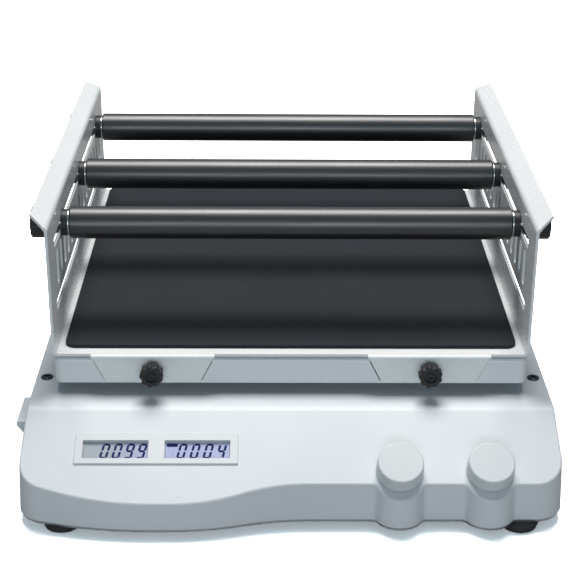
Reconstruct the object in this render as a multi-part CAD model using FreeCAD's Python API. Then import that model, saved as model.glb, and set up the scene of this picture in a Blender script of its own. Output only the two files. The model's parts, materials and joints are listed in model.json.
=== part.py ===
import FreeCAD, Part
import math
import os
from FreeCAD import Matrix, Vector

# Linear laboratory shaker with a slotted clamping carrier. Millimetres, +Z up.
# The origin is on the floor, in the middle of the footprint. The front faces -Y and the
# platform runs to and fro along X.

# Housing
housing_width = 370.0
housing_depth = 420.0
deck_height = 65.0
housing_bottom = 8.0
housing_wall = 3.0
wall_draft = 2.5
panel_angle = 29.5
panel_run = 54.0
deck_edge_radius = 14.0
lip_radius = 1.5
panel_reach = 80.0
front_bulge = 13.0
bulge_crest_start = 90.0
bulge_crest_end = 105.0
bulge_boss_gap = 60.7
bulge_crown_radius = 260.0
left_corner_radius = 20.0
right_corner_radius = 20.0
rear_corner_radius = 14.0
boss_radius = 18.0
boss_reach = 10.8
boss_blend_radius = 4.0

# Base plate, feet and the screws from below
base_thickness = 2.5
base_inset = 1.2
base_screw_radius = 2.0
base_screw_head = 3.6
base_screw_head_height = 2.2
base_screw_front_side = 35.0
base_screw_front_inset = 47.0
base_screw_side_inset = 13.0
base_screw_side_line = -40.0
base_screw_rear_left = 105.0
base_screw_rear_right = 65.0
base_screw_rear_inset = 15.0
screw_hole_gap = 0.2
boss_post_radius = 5.0
boss_screw_depth = 14.0
foot_radius = 13.5
foot_taper = 1.5
foot_screw_grip = 3.0
foot_side_inset = 30.0
foot_front_inset = 7.0
foot_rear_inset = 34.0
deck_plug_radius = 4.4
deck_plug_side_inset = 10.5
deck_plug_front_inset = 42.5
deck_plug_rear_inset = 18.0
deck_plug_head = 1.0
deck_plug_taper = 0.7
deck_plug_recess_radius = 2.4
deck_plug_recess_depth = 0.6
deck_plug_stem_radius = 2.6

# Platform, carrier and mat
platform_width = 331.5
platform_depth = 330.0
platform_rear_margin = 2.0
tray_bottom = 72.3
tray_height = 18.8
sheet = 2.0
tray_corner_radius = 6.0
tray_edge_radius = 2.6
tray_pad_height = 1.2
tray_pad_radius = 9.0
tray_pad_inset = 22.0
carrier_front = 3.3
carrier_wall_height = 93.7
plate_setback = 1.0
floor_bend = 1.5
flange_bend = 3.0
flange_length = 11.4
flange_angle = 32.0
flange_corner_cut = 10.0
flange_corner_start = 1.5
mat_margin = 6.0
mat_thickness = 2.5
mat_corner_radius = 8.0
mat_rear_margin = 2.0
long_slot_height = 7.6
long_slot_margin = 23.0
long_slot_rise = 73.7
vent_width = 9.0
vent_height = 26.0
vent_rise = 39.7
vent_margin = 33.4
vent_count = 15
low_slot_height = 7.0
low_slot_margin = 19.0
low_slot_rise = 24.7
tab_inset = 69.25
tab_top_width = 86.0
tab_bottom_width = 66.0
tab_drop = 18.0
tab_gap = 0.3
tab_bend = 2.0
clear_hole_gap = 0.4

# Clamping bars
front_bar_inset = 40.4
middle_bar_shift = 1.2
rear_bar_inset = 24.3
sleeve_radius = 11.6
sleeve_edge = 0.8
core_radius = 6.0
stud_radius = 3.0
stud_stand_out = 15.5
shoulder_radius = 8.5
shoulder_width = 1.5
collar_radius = 9.6
collar_width = 4.5
face_gap = 0.3
knob_radius = 11.2
knob_length = 16.5
knob_hub_radius = 8.0
knob_hub_length = 2.7
knob_scallops = 10
knob_scallop_radius = 2.2
knob_edge = 1.8
thumb_edge = 0.9
scallop_share = 0.55
running_gap = 0.06

# Thumbscrews that hold the carrier on the tray
thumb_radius = 8.2
thumb_length = 8.0
thumb_neck_radius = 5.0
thumb_neck_length = 5.4
thumb_screw_radius = 2.5
thumb_screw_length = 12.0
thumb_drop = 9.5
thumb_scallops = 9
thumb_scallop_radius = 1.9
thumb_recess_radius = 4.5
thumb_recess_depth = 1.2
weld_nut_radius = 4.2
weld_nut_thickness = 5.0

# Control panel, measured along the slope from the deck edge
bezel_width = 111.0
bezel_height = 23.6
bezel_side_distance = 93.5
bezel_down = 34.2
bezel_rim = 1.2
bezel_corner_radius = 1.0
bezel_border = 5.0
bezel_chamfer = 0.4
panel_fit_gap = 0.2
window_width = 44.6
window_height = 14.0
window_pitch = 55.5
window_down = 34.7
window_sink = 0.6
window_thickness = 1.6
window_ledge = 1.0
window_corner_radius = 0.5
lcd_gap = 0.3
board_thickness = 1.6
board_depth = 8.2
board_side_gap = 27.0
board_up = 24.0
board_down = 61.0
board_post_radius = 3.0
board_post_inset = 6.0
board_post_middle = 20.0
board_post_down = 28.0
control_side_distance = 51.5
control_pitch = 60.8
control_down = 50.9
control_radius = 16.0
control_height = 11.0
control_gap = 1.4
control_taper = 0.5
control_edge_radius = 1.3
control_skirt = 2.5
control_top = 2.9
control_shaft_radius = 3.0
control_shaft_reach = 9.5
encoder_size = 13.0
encoder_bush_radius = 4.4
encoder_bush_top = 0.2
encoder_floor = 0.2
encoder_travel = 1.0

# Power switch in the left side wall, under a moulded drip hood
hood_length = 36.0
hood_reach = 5.5
hood_lip = 3.0
hood_drop = 13.0
hood_top = 53.5
hood_inset = 16.0
hood_edge = 0.8
switch_under_hood = 1.0
switch_length = 28.0
switch_height = 14.0
switch_depth = 22.0
rocker_length = 20.0
rocker_height = 9.4
rocker_tilt = 7.0
rocker_gap = 0.3
rocker_end_margin = 0.7
rocker_sink = 0.9
rocker_valley = 1.0
rocker_pivot_depth = 3.4
rocker_back_depth = 5.6
rocker_back_half = 3.0
switch_well_depth = 8.0

# Mains inlet in the rear wall
inlet_side_distance = 60.0
inlet_z = 36.0
inlet_width = 48.0
inlet_height = 22.5
inlet_body_width = 27.0
inlet_body_height = 19.5
inlet_flange = 2.2
inlet_depth = 24.0
inlet_corner_radius = 5.0
inlet_screw_margin = 4.5
inlet_screw_hole = 1.7
socket_width = 24.4
socket_height = 16.4
socket_depth = 16.0
socket_corner_radius = 4.0
pin_length = 11.0
pin_half_thickness = 1.0
pin_half_width = 2.0
pin_places = [(-7, -1.5), (0, 2.5), (7, -1.5)]
vent_row_count = 12
vent_row_pitch = 7.0
vent_row_width = 2.6
vent_row_height = 22.0
vent_row_side_distance = 165.0

# Slide and drive inside the housing
rod_radius = 6.0
rod_half_length = 133.0
rod_height = 40.0
rod_distance = 85.0
rod_support_x = 125.0
rod_support_width = 18.0
rod_support_depth = 30.0
rod_support_foot = 8.0
rod_support_wall = 5.0
rod_support_crown = 4.0
block_x = 75.0
block_width = 36.0
block_depth = 30.0
block_floor = 2.5
linear_bearing_radius = 10.5
linear_bearing_length = 30.0
carriage_half_x = 100.0
carriage_half_y = 105.0
carriage_thickness = 5.0
carriage_deck_gap = 3.0
carriage_corner_radius = 8.0
opening_distance = 62.0
opening_half_x = 22.0
opening_half_y = 55.0
opening_corner_radius = 6.0
post_x = 80.0
post_radius = 7.0
post_slot_gap = 1.5
post_thread_depth = 12.0
post_screw_length = 10.0
stroke = 5.0
yoke_half_x = 24.0
yoke_half_y = 28.0
yoke_height = 11.5
yoke_corner_radius = 5.0
yoke_roof = 2.0
yoke_disc_gap = 0.8
roller_radius = 9.5
roller_width = 6.0
roller_lift = 1.2
roller_cap = 0.4
yoke_gap = 1.4
crank_pin_radius = 4.0
drive_shaft_radius = 6.0
crank_disc_radius = 21.0
crank_disc_thickness = 5.5
counterweight_radius = 34.0
counterweight_edge = 6.0
drive_plate_bottom = 26.5
drive_plate_thickness = 6.0
drive_plate_half_x = 40.0
drive_plate_margin = 36.0
drive_plate_corner_radius = 8.0
motor_shaft_hole = 9.0
standoff_radius = 5.5
standoff_side_inset = 7.0
standoff_end_inset = 8.0
standoff_middle_run = 77.0
drive_bearing_radius = 14.0
drive_bearing_width = 8.0
motor_inset = 46.0
motor_radius = 30.0
motor_height = 24.0
motor_edge_radius = 2.0
motor_cap = 4.0
motor_shaft_radius = 4.0
motor_shaft_sink = 6.0
belt_bottom = 14.0
belt_width = 9.0
belt_thickness = 1.6
belt_gap = 0.3
pulley_flange = 0.9
pulley_rim = 1.2
tooth_depth = 0.9
shaft_stub = 2.0
big_pulley_teeth = 60
small_pulley_teeth = 20
tooth_pitch = 3.0
supply_side_distance = 24.0
supply_shift = 5.0
supply_width = 36.0
supply_length = 112.0
supply_height = 27.0

# Derived places
half_width = housing_width / 2
rear_face = housing_depth / 2
flat_front = -housing_depth / 2 + front_bulge
panel_rad = math.radians(panel_angle)
deck_front = flat_front + panel_run
inner_top = deck_height - housing_wall
bulge_flat_left = bulge_crest_start - half_width
bulge_flat_right = bulge_crest_end - half_width
knob_two_x = half_width - control_side_distance
knob_one_x = knob_two_x - control_pitch
bulge_end = knob_one_x - bulge_boss_gap
base_top = housing_bottom
base_bottom = housing_bottom - base_thickness
foot_height = base_bottom
tray_top = tray_bottom + tray_height
plate_top = tray_top + tray_pad_height + sheet
carrier_half = platform_width / 2
carrier_inner = carrier_half - sheet
carrier_end = rear_face - platform_rear_margin
platform_centre = carrier_end - platform_depth / 2
carrier_start = platform_centre - platform_depth / 2 - carrier_front
mat_size = platform_depth - 2 * mat_margin
long_slot_length = platform_depth - 2 * long_slot_margin
low_slot_length = platform_depth - 2 * low_slot_margin
vent_pitch = (platform_depth - 2 * vent_margin) / (vent_count - 1)
tab_distance = carrier_half - tab_inset
sleeve_half_length = carrier_inner - face_gap - collar_width - shoulder_width
stud_reach = carrier_half + stud_stand_out
bar_z = plate_top + long_slot_rise
bar_front = platform_centre - long_slot_length / 2 + front_bar_inset
bar_middle = platform_centre + middle_bar_shift
bar_rear = platform_centre + long_slot_length / 2 - rear_bar_inset
tray_front = platform_centre - platform_depth / 2
thumb_z = plate_top - thumb_drop
rod_places = [platform_centre - rod_distance, platform_centre + rod_distance]
carriage_top = inner_top - carriage_deck_gap
carriage_bottom = carriage_top - carriage_thickness
drive_plate_top = drive_plate_bottom + drive_plate_thickness
big_pulley_radius = big_pulley_teeth * tooth_pitch / (2 * math.pi)
small_pulley_radius = small_pulley_teeth * tooth_pitch / (2 * math.pi)
hood_centre_y = deck_front + hood_inset
switch_face = -half_width
switch_middle = hood_top - hood_drop - switch_under_hood - switch_height / 2
bezel_centre_x = bezel_side_distance - half_width
window_top = bezel_rim - window_sink
window_bottom = window_top - window_thickness
lcd_width = window_width - window_ledge - 2 * panel_fit_gap
lcd_height = window_height - window_ledge - 2 * panel_fit_gap
board_half_width = half_width - board_side_gap
inlet_x = inlet_side_distance - half_width
vent_row_x = half_width - vent_row_side_distance
motor_y = deck_front + motor_inset
supply_x = supply_side_distance - half_width
supply_y = platform_centre + supply_shift
knob_places = [knob_one_x, knob_two_x]
base_screw_places = [
    (base_screw_front_side - half_width, flat_front + base_screw_front_inset),
    (half_width - base_screw_front_side, flat_front + base_screw_front_inset),
    (base_screw_side_inset - half_width, base_screw_side_line),
    (half_width - base_screw_side_inset, base_screw_side_line),
    (base_screw_rear_left - half_width, rear_face - base_screw_rear_inset),
    (half_width - base_screw_rear_right, rear_face - base_screw_rear_inset)]
deck_plug_places = [(side * (half_width - deck_plug_side_inset), y) for side in (-1, 1)
                    for y in (deck_front + deck_plug_front_inset, rear_face - deck_plug_rear_inset)]
post_places = [(side * post_x, y) for side in (-1, 1) for y in rod_places]
foot_places = [(side * (half_width - foot_side_inset), y) for side in (-1, 1)
               for y in (flat_front + foot_front_inset, rear_face - foot_rear_inset)]
board_post_places = [board_post_inset - board_half_width, -board_post_middle, board_post_middle,
                     board_half_width - board_post_inset]
yoke_bottom = carriage_bottom - yoke_height
disc_top = yoke_bottom - yoke_disc_gap
disc_bottom = disc_top - crank_disc_thickness
standoff_lines = [motor_y - drive_plate_margin + standoff_end_inset, motor_y + standoff_middle_run,
                  platform_centre + drive_plate_margin - standoff_end_inset]
standoff_places = [(side * (drive_plate_half_x - standoff_side_inset), y)
                   for side in (-1, 1) for y in standoff_lines]
along_x = Vector(1, 0, 0)
along_y = Vector(0, 1, 0)
up = Vector(0, 0, 1)


def box(x0, x1, y0, y1, z0, z1):
    return Part.makeBox(x1 - x0, y1 - y0, z1 - z0, Vector(x0, y0, z0))


def rod(x, y, z, radius, length, axis=up):
    return Part.makeCylinder(radius, length, Vector(x, y, z), axis)


def ring(x, y, z, outer, inner, length, axis=up):
    return rod(x, y, z, outer, length, axis).cut(rod(x, y, z, inner, length, axis))


def joined(shapes):
    first = shapes[0]
    return first.fuse(shapes[1:]).removeSplitter() if len(shapes) > 1 else first


def cut_all(shape, tools):
    return shape.cut(Part.makeCompound(tools)) if tools else shape


def mirrored_x(shape):
    return shape.mirror(Vector(0, 0, 0), Vector(1, 0, 0))


def arc_points(cx, cy, radius, start, end, z):
    """Three points of an arc in plan, with angles in degrees."""
    angles = [start, (start + end) / 2, end]
    return [Vector(cx + radius * math.cos(math.radians(a)), cy + radius * math.sin(math.radians(a)), z)
            for a in angles]


def rounded_prism(x0, x1, y0, y1, z0, z1, radius):
    """A block whose four upright edges are rounded."""
    block = box(x0, x1, y0, y1, z0, z1)
    edges = [e for e in block.Edges if abs(e.tangentAt(e.FirstParameter).z) > 0.99]
    return block.makeFillet(radius, edges)


def straight(start, end):
    return Part.LineSegment(start, end).toShape()


def curved(start, middle, end):
    return Part.Arc(start, middle, end).toShape()


def stadium(length, width, depth):
    """A round-ended slot tool along local X, centred in plan, from z = 0 up."""
    half = (length - width) / 2
    middle = box(-half, half, -width / 2, width / 2, 0, depth)
    return joined([middle, rod(-half, 0, 0, width / 2, depth), rod(half, 0, 0, width / 2, depth)])


def placed(shape, x_axis, y_axis, z_axis, origin):
    """Carries a shape from local axes to the given directions and origin."""
    matrix = Matrix(x_axis.x, y_axis.x, z_axis.x, origin.x,
                    x_axis.y, y_axis.y, z_axis.y, origin.y,
                    x_axis.z, y_axis.z, z_axis.z, origin.z, 0, 0, 0, 1)
    moved = shape.copy()
    moved.transformShape(matrix, True)
    return moved


def side_slot(length, width, y, z):
    """A slot tool that runs along Y through both side walls of the carrier."""
    depth = 2 * carrier_half + 2 * sheet
    origin = Vector(-depth / 2, y, z)
    return placed(stadium(length, width, depth), along_y, up, along_x, origin)


def on_panel(shape):
    """Carries a shape drawn on a level panel, with y = 0 at the deck edge, onto the slope."""
    y_axis = Vector(0, math.cos(panel_rad), math.sin(panel_rad))
    z_axis = Vector(0, -math.sin(panel_rad), math.cos(panel_rad))
    return placed(shape, along_x, y_axis, z_axis, Vector(0, deck_front, deck_height))


def save(name, shapes):
    whole = shapes if isinstance(shapes, list) else [shapes]
    solids = [s for shape in whole for s in shape.Solids]
    result = solids[0] if len(solids) == 1 else Part.makeCompound(solids)
    result.exportStep(os.path.join("parts", name + ".step"))


# Housing shell: a drafted plan outline with a bulge and two knob bosses, cut by the side profile

def boss_arcs(boss_x, inset, z):
    """The front outline round one knob boss, from its right blend to its left one."""
    centre_y = flat_front - boss_reach + boss_radius
    blend = boss_blend_radius
    drop = centre_y - (flat_front - blend)
    reach = math.sqrt((boss_radius + blend) ** 2 - drop ** 2)
    blend_y = flat_front - blend
    lean = math.degrees(math.atan2(drop, reach))
    right = arc_points(boss_x + reach, blend_y, blend + inset, 90, 180 - lean, z)
    middle = arc_points(boss_x, centre_y, boss_radius - inset, -lean, -180 + lean, z)
    left = arc_points(boss_x - reach, blend_y, blend + inset, lean, 90, z)
    return [right, middle, left]


def plan_outline(inset, z):
    """The housing seen from above, drawn clockwise from the right rear corner."""
    arcs = []
    rear_y = rear_face - rear_corner_radius
    rear_x = half_width - rear_corner_radius
    arcs.append(arc_points(rear_x, rear_y, rear_corner_radius - inset, 90, 0, z))
    front_x = half_width - right_corner_radius
    front_y = flat_front + right_corner_radius
    arcs.append(arc_points(front_x, front_y, right_corner_radius - inset, 0, -90, z))
    for boss_x in (knob_two_x, knob_one_x):
        arcs.extend(boss_arcs(boss_x, inset, z))
    run = bulge_end - bulge_flat_right
    bend = (run ** 2 + front_bulge ** 2) / (4 * front_bulge)
    turn = math.degrees(math.asin(run / 2 / bend))
    arcs.append(arc_points(bulge_end, flat_front - bend, bend + inset, 90, 90 + turn, z))
    crest = flat_front - front_bulge
    arcs.append(arc_points(bulge_flat_right, crest + bend, bend - inset, -90 + turn, -90, z))
    crown = bulge_crown_radius
    corner = left_corner_radius
    corner_x = -half_width + corner
    along = bulge_flat_left - corner_x
    corner_y = crest + crown - math.sqrt((crown - corner) ** 2 - along ** 2)
    sweep = math.degrees(math.asin(along / (crown - corner)))
    arcs.append(arc_points(bulge_flat_left, crest + crown, crown - inset, -90, -90 - sweep, z))
    arcs.append(arc_points(corner_x, corner_y, corner - inset, -90 - sweep, -180, z))
    arcs.append(arc_points(-rear_x, rear_y, rear_corner_radius - inset, 180, 90, z))
    edges = []
    previous = arcs[-1][2]
    for start, middle, end in arcs:
        if previous.distanceToPoint(start) > 1e-6:
            edges.append(straight(previous, start))
        edges.append(curved(start, middle, end))
        previous = end
    return Part.Wire(edges)


def side_profile(inset, edge_radius):
    """The side view: a level deck, a sloping panel and a tall front, as one prism along X."""
    slope_drop = panel_reach * math.sin(panel_rad)
    slope_run = panel_reach * math.cos(panel_rad)
    corner = Vector(0, deck_front + inset * math.tan(panel_rad / 2), deck_height - inset)
    low = Vector(0, corner.y - slope_run, corner.z - slope_drop)
    far = rear_face + 1
    points = [Vector(0, far, 0), Vector(0, far, corner.z), corner, low, Vector(0, low.y, 0)]
    face = Part.Face(Part.makePolygon(points + points[:1]))
    prism = face.extrude(Vector(housing_width + 4, 0, 0))
    prism.translate(Vector(-half_width - 2, 0, 0))
    if edge_radius:
        edges = [e for e in prism.Edges
                 if all(v.Point.sub(Vector(v.X, corner.y, corner.z)).Length < 1e-6 for v in e.Vertexes)]
        prism = prism.makeFillet(edge_radius, edges)
    return prism


def housing_block(inset, bottom, edge_radius):
    """The outer form at inset 0, and the hollow inside it at the wall's inset."""
    low = plan_outline(inset, bottom)
    high = plan_outline(inset + wall_draft, deck_height + 1)
    loft = Part.makeLoft([low, high], True, True)
    return loft.common(side_profile(inset, edge_radius))


def outer_housing():
    block = housing_block(0, housing_bottom, deck_edge_radius)
    edges = []
    for edge in block.Edges:
        middle = edge.valueAt((edge.FirstParameter + edge.LastParameter) / 2)
        steep = abs(edge.tangentAt((edge.FirstParameter + edge.LastParameter) / 2).z)
        across = abs(edge.Vertexes[0].X - edge.Vertexes[-1].X) > housing_width * 0.8
        if middle.z > housing_bottom + 5 and steep < 0.75 and not (across and middle.y < rear_face - 5):
            edges.append(edge)
    return block.makeFillet(lip_radius, edges)


def drip_hood():
    """A wedge over the power switch, flat on top and sloping back to the wall below."""
    inside = housing_wall - half_width
    tip = -half_width - hood_reach
    foot_z = hood_top - hood_drop
    points = [Vector(inside, 0, hood_top), Vector(tip, 0, hood_top), Vector(tip, 0, hood_top - hood_lip),
              Vector(wall_draft - half_width, 0, foot_z), Vector(inside, 0, foot_z)]
    face = Part.Face(Part.makePolygon(points + points[:1]))
    hood = face.extrude(Vector(0, hood_length, 0))
    hood.translate(Vector(0, hood_centre_y - hood_length / 2, 0))
    edges = [e for e in hood.Edges if all(v.X < -half_width for v in e.Vertexes)]
    return hood.makeFillet(hood_edge, edges)


def panel_hole(width, height, radius):
    """A cut-out through the panel wall at the display."""
    hole = rounded_prism(bezel_centre_x - width / 2, bezel_centre_x + width / 2,
                         -bezel_down - height / 2, -bezel_down + height / 2,
                         -housing_wall - 2, 2, radius)
    return on_panel(hole)


def make_upper_housing():
    inner = housing_block(housing_wall, housing_bottom - 1, 0)
    shell = outer_housing().cut(inner)
    posts = []
    for x, y in base_screw_places:
        height = inner_top - housing_bottom
        posts.append(rod(x, y, housing_bottom, boss_post_radius, height + 1))
    board_posts = [on_panel(rod(x, -board_post_down, -board_depth, board_post_radius, board_depth - 1))
                   for x in board_post_places]
    inside = outer_housing()
    posts = [p.common(inside) for p in posts + board_posts]
    shell = joined([shell, drip_hood()] + posts)
    tools = []
    for x, y in base_screw_places:
        tools.append(rod(x, y, housing_bottom - 1, base_screw_radius, boss_screw_depth + 1))
    for x, y in deck_plug_places:
        tools.append(rod(x, y, inner_top - 1, deck_plug_stem_radius, housing_wall + 2))
    slot_width = 2 * (post_radius + post_slot_gap)
    for x, y in post_places:
        slot = stadium(slot_width + 2 * stroke, slot_width, housing_wall + 2)
        slot.translate(Vector(x, y, inner_top - 1))
        tools.append(slot)
    skirt_width = bezel_width - bezel_border
    skirt_height = bezel_height - bezel_border
    tools.append(panel_hole(skirt_width, skirt_height, bezel_corner_radius))
    for x in knob_places:
        bush = encoder_bush_radius + panel_fit_gap
        tools.append(on_panel(rod(x, -control_down, -housing_wall - 3, bush, housing_wall + 6)))
    gap = panel_fit_gap
    tools.append(box(switch_face - 1, -half_width + housing_wall + wall_draft + 1,
                     hood_centre_y - switch_length / 2 - gap, hood_centre_y + switch_length / 2 + gap,
                     switch_middle - switch_height / 2 - gap, switch_middle + switch_height / 2 + gap))
    tools.append(box(inlet_x - inlet_body_width / 2 - gap, inlet_x + inlet_body_width / 2 + gap,
                     rear_face - housing_wall - 4, rear_face + 1,
                     inlet_z - inlet_body_height / 2 - gap, inlet_z + inlet_body_height / 2 + gap))
    for i in range(vent_row_count):
        x = vent_row_x + i * vent_row_pitch
        vent = stadium(vent_row_height, vent_row_width, housing_wall + 8)
        origin = Vector(x, rear_face + 1, inlet_z)
        tools.append(placed(vent, up, along_x, Vector(0, -1, 0), origin))
    return cut_all(shell, tools)


def make_base_plate():
    plate = Part.Face(plan_outline(base_inset, base_bottom)).extrude(Vector(0, 0, base_thickness))
    tools = [rod(x, y, base_bottom - 1, base_screw_radius + screw_hole_gap, base_thickness + 2)
             for x, y in base_screw_places + foot_places]
    return cut_all(plate, tools)


def make_rubber_feet():
    feet = []
    for x, y in foot_places:
        foot = Part.makeCone(foot_radius - foot_taper, foot_radius, foot_height, Vector(x, y, 0), up)
        recess = rod(x, y, -1, base_screw_head + 1, foot_height / 2 + 1)
        hole = rod(x, y, 0, base_screw_radius + screw_hole_gap, foot_height + 1)
        feet.append(foot.cut(recess).cut(hole))
    return feet


def screw(x, y, head_bottom, length):
    """A pan-head screw driven upwards."""
    head = rod(x, y, head_bottom, base_screw_head, base_screw_head_height)
    shank = rod(x, y, head_bottom + base_screw_head_height, base_screw_radius, length)
    return joined([head, shank])


def make_base_screws():
    screws = []
    for x, y in base_screw_places:
        head_bottom = base_bottom - base_screw_head_height
        screws.append(screw(x, y, head_bottom, base_thickness + boss_screw_depth - 2))
    for x, y in foot_places:
        head_bottom = foot_height / 2 - base_screw_head_height
        screws.append(screw(x, y, head_bottom, foot_height / 2 + base_thickness + foot_screw_grip))
    return screws


def make_deck_plugs():
    plugs = []
    for x, y in deck_plug_places:
        head = Part.makeCone(deck_plug_radius, deck_plug_radius - deck_plug_taper, deck_plug_head,
                             Vector(x, y, deck_height), up)
        stem = rod(x, y, inner_top - 2, deck_plug_stem_radius - 0.1, housing_wall + 2.5)
        recess = rod(x, y, deck_height + deck_plug_head - deck_plug_recess_depth,
                     deck_plug_recess_radius, 2)
        plugs.append(joined([head, stem]).cut(recess))
    return plugs


# Display and controls on the sloping panel

def bezel_frame(border, low, high, radius):
    """A block on the panel at the display, smaller than the bezel by a border."""
    half_x = (bezel_width - border) / 2
    half_y = (bezel_height - border) / 2
    return rounded_prism(bezel_centre_x - half_x, bezel_centre_x + half_x, -bezel_down - half_y,
                         -bezel_down + half_y, low, high, radius)


def window_blocks(width, height, low, high):
    """A level block at each of the display's two windows."""
    blocks = []
    for side in (-1, 1):
        x = bezel_centre_x + side * window_pitch / 2
        blocks.append(rounded_prism(x - width / 2, x + width / 2, -window_down - height / 2,
                                    -window_down + height / 2, low, high, window_corner_radius))
    return blocks


def make_display_bezel():
    rim = bezel_frame(0, 0, bezel_rim, bezel_corner_radius)
    top = [e for e in rim.Edges if all(v.Z > bezel_rim - 1e-6 for v in e.Vertexes)]
    rim = rim.makeChamfer(bezel_chamfer, top)
    skirt = bezel_frame(bezel_border + 2 * panel_fit_gap, -housing_wall, bezel_rim / 2, bezel_corner_radius)
    holes = window_blocks(window_width - window_ledge, window_height - window_ledge, -housing_wall - 1,
                          bezel_rim + 1)
    seats = window_blocks(window_width, window_height, window_bottom, bezel_rim + 1)
    return on_panel(cut_all(cut_all(joined([rim, skirt]), holes), seats))


def make_display_panes():
    panes = window_blocks(window_width - 2 * panel_fit_gap, window_height - 2 * panel_fit_gap,
                          window_bottom, window_top)
    return [on_panel(pane) for pane in panes]


def make_lcd_modules():
    return [on_panel(glass) for glass in window_blocks(lcd_width, lcd_height, -board_depth,
                                                       window_bottom - lcd_gap)]


def make_control_board():
    board = box(-board_half_width, board_half_width, -board_down, -board_up,
                -board_depth - board_thickness, -board_depth)
    return on_panel(board)


def make_encoders():
    encoders = []
    bore = control_shaft_radius + running_gap
    for x in knob_places:
        half = encoder_size / 2
        body = box(x - half, x + half, -control_down - half, -control_down + half,
                   -board_depth, -housing_wall - encoder_floor)
        bush = rod(x, -control_down, -housing_wall - 1, encoder_bush_radius,
                   housing_wall + 1 + encoder_bush_top)
        hole = rod(x, -control_down, -board_depth + encoder_floor, bore, board_depth + 1)
        encoders.append(on_panel(joined([body, bush]).cut(hole)))
    return encoders


def make_control_shaft(x):
    bottom = -board_depth + 2 * encoder_floor + encoder_travel
    return on_panel(rod(x, -control_down, bottom, control_shaft_radius, control_shaft_reach - bottom))


def make_control_knob(x):
    body = Part.makeCone(control_radius, control_radius - control_taper, control_height,
                         Vector(x, -control_down, control_gap), up)
    top = [e for e in body.Edges if e.BoundBox.ZMin > control_gap + control_height - 1e-6]
    body = body.makeFillet(control_edge_radius, top)
    bore = rod(x, -control_down, 0, control_shaft_radius + running_gap, control_shaft_reach + running_gap)
    hollow = ring(x, -control_down, control_gap - 1, control_radius - control_skirt,
                  control_shaft_radius + control_skirt, control_height + 1 - control_top)
    return on_panel(body.cut(bore).cut(hollow))


def make_switch_body():
    half = switch_length / 2
    body = box(switch_face, switch_face + switch_depth, hood_centre_y - half, hood_centre_y + half,
               switch_middle - switch_height / 2, switch_middle + switch_height / 2)
    half = rocker_length / 2 + rocker_gap + rocker_end_margin
    half_height = rocker_height / 2 + rocker_gap
    well = box(switch_face - 1, switch_face + switch_well_depth, hood_centre_y - half, hood_centre_y + half,
               switch_middle - half_height, switch_middle + half_height)
    return body.cut(well)


def make_power_rocker():
    """A shallow V-shaped rocker, tilted to its on side about its upright pivot."""
    half = rocker_length / 2
    middle = hood_centre_y
    sunk = switch_face + rocker_sink
    pivot_x = switch_face + rocker_pivot_depth
    back = switch_face + rocker_back_depth
    pivot = Vector(pivot_x, middle, switch_middle)
    points = [Vector(sunk, middle - half, 0), Vector(sunk + rocker_valley, middle, 0),
              Vector(sunk, middle + half, 0), Vector(pivot_x, middle + half, 0),
              Vector(back, middle + rocker_back_half, 0), Vector(back, middle - rocker_back_half, 0),
              Vector(pivot_x, middle - half, 0)]
    face = Part.Face(Part.makePolygon(points + points[:1]))
    rocker = face.extrude(Vector(0, 0, rocker_height))
    rocker.translate(Vector(0, 0, switch_middle - rocker_height / 2))
    rocker.rotate(pivot, up, rocker_tilt)
    return rocker


def make_power_inlet():
    flange = rounded_prism(-inlet_width / 2, inlet_width / 2, -inlet_height / 2, inlet_height / 2,
                           0, inlet_flange, inlet_corner_radius)
    body = box(-inlet_body_width / 2, inlet_body_width / 2, -inlet_body_height / 2,
               inlet_body_height / 2, inlet_flange - inlet_depth, inlet_flange / 2)
    socket = rounded_prism(-socket_width / 2, socket_width / 2, -socket_height / 2, socket_height / 2,
                           inlet_flange - socket_depth, inlet_flange + 1, socket_corner_radius)
    holes = [rod(side * (inlet_width / 2 - inlet_screw_margin), 0, -1, inlet_screw_hole, inlet_flange + 2)
             for side in (-1, 1)]
    case = cut_all(joined([flange, body]).cut(socket), holes)
    floor = inlet_flange - socket_depth
    pins = [box(x - pin_half_thickness, x + pin_half_thickness, y - pin_half_width, y + pin_half_width,
                floor, floor + pin_length) for x, y in pin_places]
    origin = Vector(inlet_x, rear_face, inlet_z)
    return [placed(s, Vector(-1, 0, 0), up, Vector(0, 1, 0), origin) for s in [case] + pins]


def make_power_supply():
    half_x = supply_width / 2
    half_y = supply_length / 2
    return box(supply_x - half_x, supply_x + half_x, supply_y - half_y, supply_y + half_y,
               base_top, base_top + supply_height)


# Slide, yoke and drive

def make_guide_rods():
    return [rod(-rod_half_length, y, rod_height, rod_radius, 2 * rod_half_length, along_x)
            for y in rod_places]


def make_rod_supports():
    supports = []
    for side in (-1, 1):
        for y in rod_places:
            x = side * rod_support_x
            half_x = rod_support_width / 2
            half_y = rod_support_depth / 2
            foot = box(x - half_x, x + half_x, y - half_y, y + half_y, base_top,
                       base_top + rod_support_foot)
            half_y = rod_radius + rod_support_wall
            tower = box(x - half_x, x + half_x, y - half_y, y + half_y, base_top,
                        rod_height + rod_radius + rod_support_crown)
            hole = rod(x - half_x - 1, y, rod_height, rod_radius, rod_support_width + 2, along_x)
            supports.append(joined([foot, tower]).cut(hole))
    return supports


def make_bearing_blocks():
    blocks = []
    bottom = rod_height - linear_bearing_radius - block_floor
    for side in (-1, 1):
        for y in rod_places:
            x = side * block_x
            block = box(x - block_width / 2, x + block_width / 2, y - block_depth / 2,
                        y + block_depth / 2, bottom, carriage_bottom)
            hole = rod(x - block_width, y, rod_height, linear_bearing_radius, 2 * block_width, along_x)
            blocks.append(block.cut(hole))
    return blocks


def make_linear_bearings():
    half = linear_bearing_length / 2
    return [ring(side * block_x - half, y, rod_height, linear_bearing_radius, rod_radius + running_gap,
                 linear_bearing_length, along_x) for side in (-1, 1) for y in rod_places]


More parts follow.
